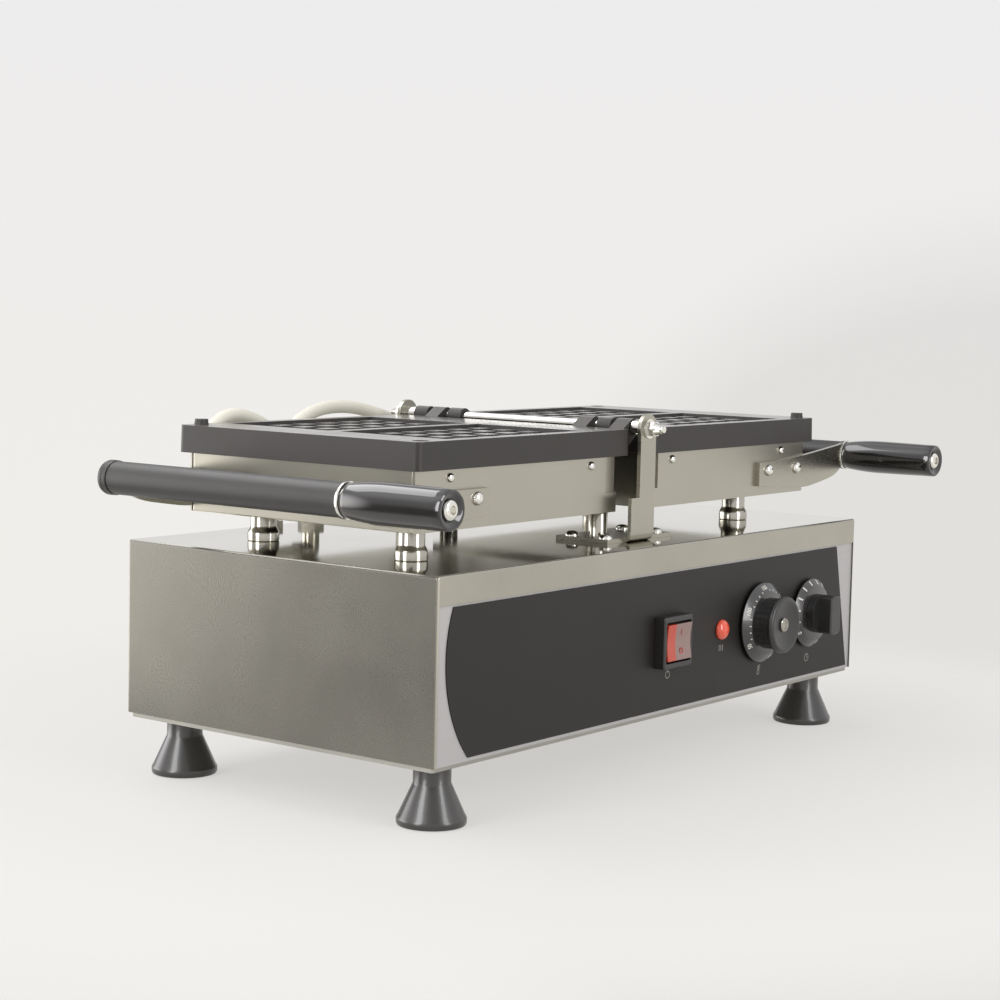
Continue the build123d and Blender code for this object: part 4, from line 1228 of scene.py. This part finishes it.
@dataclass(frozen=True)
class Dial:
    """A bevelled dial: radii and heights in millimetres, and what is printed on it."""

    node: str
    body: str
    outer: float
    inner: float
    thick: float
    rim: float
    words: tuple[str, ...]
    between: int
    tick: Pair
    tick_radius: float
    word_mm: float = 3.2
    span: float = 290.0
    start: float = 215.0
    lift_mm: float = 0.05

    def seat(self) -> Matrix:
        """Find the dial's place.

        Returns:
            The matrix that takes its own +Z forward at that place.
        """
        low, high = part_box(self.node)
        centre = (low + high) / 2
        return placing((centre.x, high.y, centre.z), Facing.FRONT)

    def build(self) -> None:
        """Model the bevelled disc and print its marks."""
        rings = [(self.outer - 0.4, 0), (self.outer, 0.3), (self.outer, self.rim)]
        rings += [(self.inner, self.thick - 0.15), (self.inner - 0.4, self.thick), (4, self.thick)]
        disc = turned(self.node.replace("_dial", "_scale"), rings, FACES_LARGE)
        settle(disc, self.seat())
        stand_in(disc, self.node, DIAL_PHENOLIC)
        self.print_marks()

    def print_marks(self) -> None:
        """Print plain numbers, with ticks between them, on the bevel."""
        slope = math.atan2(self.thick - self.rim, self.outer - self.inner)
        steps = (self.between + 1) * (len(self.words) - 1)
        made = []
        for step in range(steps + 1):
            word = "" if step % (self.between + 1) else self.words[step // (self.between + 1)]
            if word:
                radius = (self.outer + self.inner) / 2
                piece = lettering(word, self.word_mm, "number")
            else:
                radius = self.tick_radius
                piece = slab("tick", *self.tick)
            height = self.rim + (self.outer - radius) * math.tan(slope) + self.lift_mm
            angle = math.radians(self.start - step * self.span / steps - 90)
            turn = Matrix.Rotation(angle, 4, "Z") @ Matrix.Translation((0, radius * MM, height * MM))
            settle(piece, self.seat() @ turn @ Matrix.Rotation(-slope, 4, "X"))
            made.append(piece)
        marks = joined(made, self.node.replace("_dial", "_marks"))
        dress(marks, PRINT_INK)
        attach(marks, self.body)
        report(marks)


@dataclass(frozen=True)
class Symbol:
    """A plain printed symbol: a ring and bars, in millimetres from its middle."""

    name: str
    node: str
    below_mm: float
    ring: Ring | None
    bars: tuple[tuple[float, float, float, float], ...]
    grow: float = 1.3
    line_mm: float = 0.22
    flatness: float = 0.3
    lift_mm: float = 0.02

    def build(self) -> None:
        """Print the symbol on the film below its control."""
        low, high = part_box(self.node)
        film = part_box("control_overlay")[0].y
        spot = ((low.x + high.x) / 2, film - self.lift_mm * MM, low.z - self.below_mm * MM)
        made = []
        if self.ring is not None:
            radius, height = self.ring
            clear_selection()
            bpy.ops.mesh.primitive_torus_add(
                major_radius=radius * MM, minor_radius=self.line_mm * MM, major_segments=40,
                minor_segments=6, location=(0, height * MM, 0),
            )
            ring = bpy.context.object
            freeze()
            ring.data.transform(Matrix.Diagonal((1, 1, self.flatness, 1)))
            made.append(ring)
        for across, height, width, tall in self.bars:
            bar = slab("bar", width, tall)
            settle(bar, Matrix.Translation((across * MM, height * MM, 0)))
            made.append(bar)
        symbol = joined(made, f"{self.name}_symbol")
        settle(symbol, placing(spot, Facing.FRONT) @ Matrix.Scale(self.grow, 4))
        dress(symbol, SYMBOL_INK)
        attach(symbol, "base")
        report(symbol)


@dataclass
class Controls:
    """Rocker switch, lamp and the two knobs with their dials."""

    temperature: Dial = Dial(
        "temperature_dial", "temperature_knob", 30.0, 23.8, 6.0, 1.2,
        ("50", "100", "150", "200", "250", "300"), 4, (0.7, 1.5), 24.9,
    )
    timer: Dial = Dial(
        "timer_dial", "timer_knob", 26.5, 21.5, 5.0, 1.0, ("0", *[""] * 13), 0, (1.3, 4.2), 24.1,
    )
    symbols: tuple[Symbol, ...] = (
        Symbol("power", "switch_body", 6.0, (2.0, 0.0), ((0.0, 1.7, 0.5, 2.0),)),
        Symbol(
            "heat", "indicator_lamp", 6.0, None,
            ((-1.8, 0.0, 0.5, 3.4), (0.0, 0.0, 0.5, 3.4), (1.8, 0.0, 0.5, 3.4)),
        ),
        Symbol(
            "thermometer", "temperature_dial", 6.5, (1.2, -1.4),
            ((0.0, 1.2, 0.9, 3.2), (1.6, 0.6, 1.2, 0.4), (1.6, 1.7, 1.2, 0.4), (1.6, 2.8, 1.2, 0.4)),
        ),
        Symbol("clock", "timer_dial", 9.0, (2.2, 0.0), ((0.0, 0.7, 0.4, 1.5), (0.6, 0.0, 1.3, 0.4))),
    )
    stroke_mm: float = 4.2
    stroke_place_mm: Pair = (2.2, 0.55)
    stroke_rise: float = 0.26
    lens_rings: list[Ring] = field(
        default_factory=lambda: [
            (5.2, -20), (5.2, 0), (7.3, 0), (7.5, 0.3), (7.5, 1), (7.2, 1.8), (6.5, 2.8),
            (5.4, 3.7), (3.8, 4.5), (1.9, 4.9), (0.5, 5),
        ]
    )

    def build(self) -> None:
        """Model and dress the controls."""
        for node, name, finish, width in (
            ("switch_body", "switch_bezel", KNOB_PHENOLIC, 0.4),
            ("switch_rocker", "rocker", ROCKER_RED, 0.5),
            ("temperature_grip", "temperature_knob_grip", KNOB_PHENOLIC, 0.3),
            ("timer_grip", "timer_knob_grip", KNOB_PHENOLIC, 0.6),
        ):
            softened(node, name, width, finish)
        self.temperature.build()
        self.timer.build()
        self.knob_cap()
        self.rocker_marks()
        self.lamp()
        for symbol in self.symbols:
            symbol.build()

    def knob_cap(self) -> None:
        """Model the turned disc in the temperature knob's face."""
        low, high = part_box("temperature_cap")
        centre = (low + high) / 2
        radius = (high.x - low.x) / 2 / MM
        length = (high.y - low.y) / MM
        rings = [(radius - 0.3, 0), (radius, 0.2), (radius, length - 0.5), (radius - 0.5, length)]
        rings += [(radius - 1.4, length), (radius - 2, length - 0.8), (0.6, length - 0.9)]
        cap = turned("knob_cap", rings, FACES_SLIM)
        settle(cap, placing((centre.x, high.y, centre.z), Facing.FRONT))
        stand_in(cap, "temperature_cap", CAP_ALUMINIUM)

    def rocker_marks(self) -> None:
        """Print the plain on and off strokes on the rocker's two halves."""
        low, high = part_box("switch_rocker")
        centre = (low + high) / 2
        made = []
        across, depth = (place * MM for place in self.stroke_place_mm)
        for word, rise in (("I", self.stroke_rise), ("O", -self.stroke_rise)):
            mark = lettering(word, self.stroke_mm, "stroke")
            spot = (centre.x + across, low.y + depth, centre.z + rise * (high.z - low.z))
            settle(mark, placing(spot, Facing.FRONT))
            made.append(mark)
        marks = joined(made, "rocker_strokes")
        dress(marks, ROCKER_MARK)
        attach(marks, "power_rocker")
        report(marks)

    def lamp(self) -> None:
        """Model the indicator's domed red lens."""
        low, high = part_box("indicator_lamp")
        centre = (low + high) / 2
        lamp = turned("lamp_lens", self.lens_rings, FACES_MIDDLE)
        face = low.y + self.lens_rings[-1][1] * MM
        settle(lamp, placing((centre.x, face, centre.z), Facing.FRONT))
        stand_in(lamp, "indicator_lamp", LAMP_RED)


@dataclass(frozen=True)
class Glow:
    """A soft round glow in the room, by the cosines to its aim where it starts and is full."""

    aim: Point
    starts: float
    full: float
    gain: float

    def level(self, tree: Tree, way: Socket) -> Socket:
        """Find how bright the glow is in a direction.

        Args:
            tree: The world's node tree.
            way: The direction looked in.

        Returns:
            The glow's strength.
        """
        aim = Vector(self.aim).normalized()
        facing = add_node(tree, "VectorMath", {"operation": "DOT_PRODUCT", 0: way, 1: aim})
        ends, results = (self.starts, self.full), (0.0, self.gain)
        return ramp(tree, facing.outputs["Value"], ends, results, "SMOOTHSTEP")


@dataclass(frozen=True)
class Lamp:
    """A rectangular lamp that faces the object, in metres and watts."""

    name: str
    spot: Point
    size: Pair
    power: float
    target: Point = (0, 0, 0.15)

    def hang(self) -> None:
        """Put the lamp in its place and aim it."""
        clear_selection()
        bpy.ops.object.light_add(type="AREA", location=self.spot)
        lamp = bpy.context.object
        lamp.name = f"lamp_{self.name}"
        lamp.data.shape = "RECTANGLE"
        lamp.data.size, lamp.data.size_y = self.size
        lamp.data.energy = self.power
        aim = Vector(self.target) - Vector(self.spot)
        lamp.rotation_mode = "QUATERNION"
        lamp.rotation_quaternion = aim.to_track_quat("-Z", "Y")


@dataclass
class Studio:
    """Pale floor and backdrop, soft lights and the photograph's camera."""

    camera_mm: Point = (-1303.8, -960.75, 335.7)
    yaw: float = 0.9183
    pitch: float = 0.0928
    roll: float = 0.0218
    focal_px: float = 2202.3
    image_px: float = 1000.0
    sensor_mm: float = 36.0
    clip_m: Pair = (0.05, 50.0)
    table_m: float = 0.78
    table_drop_m: float = 0.0002
    table_faces: int = 128
    table_colour: str = "#cfcecb"
    table_roughness: float = 0.75
    fade_m: Pair = (0.48, 0.72)
    shine_colour: str = "#ebe9e6"
    shine: float = 0.65
    ambient: float = 0.2
    backdrop: Pair = (0.76, 0.9)
    low_colour: str = "#fffdf9"
    high_colour: str = "#fcfbfd"
    colour_rise: Pair = (-0.1, 0.2)
    far_wall: Glow = Glow((0.794, 0.607, 0.0), 0.72, 0.92, 0.67)
    glows: tuple[Glow, ...] = (
        Glow((0.9, 0.4, -0.2), 0.965, 0.998, -0.25),
        Glow((-0.34, 0.94, 0.0), 0.86, 0.985, 4.8),
        Glow((-0.92, 0.38, 0.75), 0.7, 0.93, 0.7),
        Glow((0.65, -0.75, 0.15), 0.45, 0.85, 0.85),
        Glow((-0.8, -0.6, 0.15), 0.4, 0.95, 0.4),
        Glow((-0.6, -0.6, -0.5), 0.3, 0.9, 0.5),
        Glow((-0.1, 0.6, 0.8), 0.7, 0.97, 0.8),
        Glow((0.0, 0.0, 1.0), 0.3, 0.9, 0.35),
    )
    lamps: tuple[Lamp, ...] = (
        Lamp("rear", (-0.15, 1.0, 1.4), (1.2, 0.6), 7.0),
        Lamp("left", (-1.7, 0.1, 0.75), (0.55, 1.3), 17.0),
        Lamp("front", (-0.15, -1.69, 0.75), (0.45, 1.3), 12.0),
    )

    def build(self) -> None:
        """Make the stage, the lights and the camera."""
        self.floor()
        self.world()
        for lamp in self.lamps:
            lamp.hang()
        self.camera()
        bpy.context.scene.view_settings.view_transform = "Standard"

    def seen(self, tree: Tree) -> Socket:
        """Tell the rays that show the background from the rays that light the object.

        Args:
            tree: The floor's or the world's node tree.

        Returns:
            1 for camera, glossy and transmission rays, else 0.
        """
        rays = add_node(tree, "LightPath").outputs
        both = combine(tree, "ADD", rays["Is Camera Ray"], rays["Is Glossy Ray"])
        return combine(tree, "ADD", both, rays["Is Transmission Ray"], clamp=True)

    def floor(self) -> None:
        """Lay the pale table top, which fades into the room far from the object."""
        clear_selection()
        bpy.ops.mesh.primitive_circle_add(
            vertices=self.table_faces, radius=self.table_m, fill_type="NGON",
            location=(0, 0, -self.table_drop_m),
        )
        floor = bpy.context.object
        floor.name = "floor"
        pick(floor)
        freeze()
        material = bpy.data.materials.new("pale_table")
        material.use_nodes = True
        tree = material.node_tree
        shader = tree.nodes["Principled BSDF"]
        shader.inputs["Base Color"].default_value = linear(self.table_colour)
        shader.inputs["Roughness"].default_value = self.table_roughness
        place = add_node(tree, "TexCoord").outputs["Object"]
        reach = add_node(tree, "VectorMath", {"operation": "LENGTH", 0: place}).outputs["Value"]
        fade = ramp(tree, reach, self.fade_m, kind="SMOOTHSTEP")
        clear = add_node(tree, "BsdfTransparent")
        shine = add_node(tree, "Emission", {"Color": linear(self.shine_colour), "Strength": 1.0})
        share = combine(tree, "MULTIPLY", self.seen(tree), self.shine)
        lit = add_node(tree, "MixShader", {0: share, 1: shader.outputs[0], 2: shine.outputs[0]})
        mix = add_node(tree, "MixShader", {0: fade, 1: lit.outputs[0], 2: clear.outputs[0]})
        tree.links.new(mix.outputs[0], tree.nodes["Material Output"].inputs["Surface"])
        floor.data.materials.append(material)

    def world(self) -> None:
        """Surround the object with soft glows in a dim room, seen as a pale backdrop."""
        world = bpy.data.worlds.new("studio")
        bpy.context.scene.world = world
        world.use_nodes = True
        tree = world.node_tree
        tree.nodes.clear()
        way = add_node(tree, "TexCoord").outputs["Generated"]
        total = combine(tree, "MULTIPLY", self.far_wall.level(tree, way), self.seen(tree))
        for glow in self.glows:
            total = combine(tree, "ADD", total, glow.level(tree, way))
        level = combine(tree, "ADD", total, self.ambient)
        low, high = self.backdrop
        plain = add_node(tree, "Clamp", {0: level, "Min": low, "Max": high}).outputs[0]
        to_camera = add_node(tree, "LightPath").outputs["Is Camera Ray"]
        shown = mixed(tree, to_camera, level, plain)
        height = add_node(tree, "SeparateXYZ", {0: way}).outputs[2]
        rise = ramp(tree, height, self.colour_rise)
        cloth = mixed(tree, rise, linear(self.low_colour), linear(self.high_colour), colour=True)
        room = add_node(tree, "Background", {"Color": cloth, "Strength": shown})
        add_node(tree, "OutputWorld", {0: room.outputs[0]})

    def camera(self) -> None:
        """Stand the camera where the photograph was taken from."""
        ahead = Vector(
            (
                math.sin(self.yaw) * math.cos(self.pitch),
                math.cos(self.yaw) * math.cos(self.pitch),
                -math.sin(self.pitch),
            )
        )
        right = Vector((math.cos(self.yaw), -math.sin(self.yaw), 0))
        up = right.cross(ahead)
        across = right * math.cos(self.roll) + up * math.sin(self.roll)
        upward = -right * math.sin(self.roll) + up * math.cos(self.roll)
        data = bpy.data.cameras.new("camera")
        data.sensor_width = self.sensor_mm
        data.lens = self.focal_px / self.image_px * data.sensor_width
        data.clip_start, data.clip_end = self.clip_m
        camera = bpy.data.objects.new("camera", data)
        bpy.context.scene.collection.objects.link(camera)
        turn = Matrix((across, upward, -ahead)).transposed().to_4x4()
        camera.matrix_world = Matrix.Translation(Vector(self.camera_mm) * MM) @ turn
        bpy.context.scene.camera = camera


# Routes of the conduits: X from the middle, Y from the shaft's middle, Z up from the deck
LEFT_ROUTE = [
    (-121, 114, 18), (-142, 114, 18), (-171, 116, 20), (-199, 119, 29), (-214, 120, 50),
    (-207, 120, 74), (-184, 119, 86), (-156, 117, 78), (-131, 115, 62), (-106.95, 114, 51.83),
    (-90.04, 114, 45.67),
]
RIGHT_ROUTE = [
    (-135, 127, 14), (-135, 127, 31), (-127, 130, 50), (-108, 134, 70), (-78, 137, 84),
    (-42, 137, 86), (-6, 137, 79), (17, 130, 70), (32.8, 118, 60.6), (47.2, 118, 49.8),
]


def dress_nodes() -> None:
    """Give every CAD node its finish, also where a new piece then stands for it."""
    for finish, nodes in NODE_FINISHES.items():
        for node in nodes:
            dress(frame["nodes"][node], finish)
    for finish, labels in UNIT_FINISHES.items():
        for side in SIDES:
            for label in labels:
                dress(frame["nodes"][f"{side}_{label}"], finish)


def main() -> None:
    """Build the sub-assemblies in order and set the stage."""
    logging.basicConfig(level=logging.INFO, format="%(name)s %(message)s")
    dress_nodes()
    Cabinet().build()
    Hinge().build()
    for side in SIDES:
        PlateUnit(side).build()
    Conduit("left", LEFT_ROUTE).build()
    Conduit("right", RIGHT_ROUTE).build()
    Controls().build()
    Studio().build()


if __name__ == "__main__":
    main()
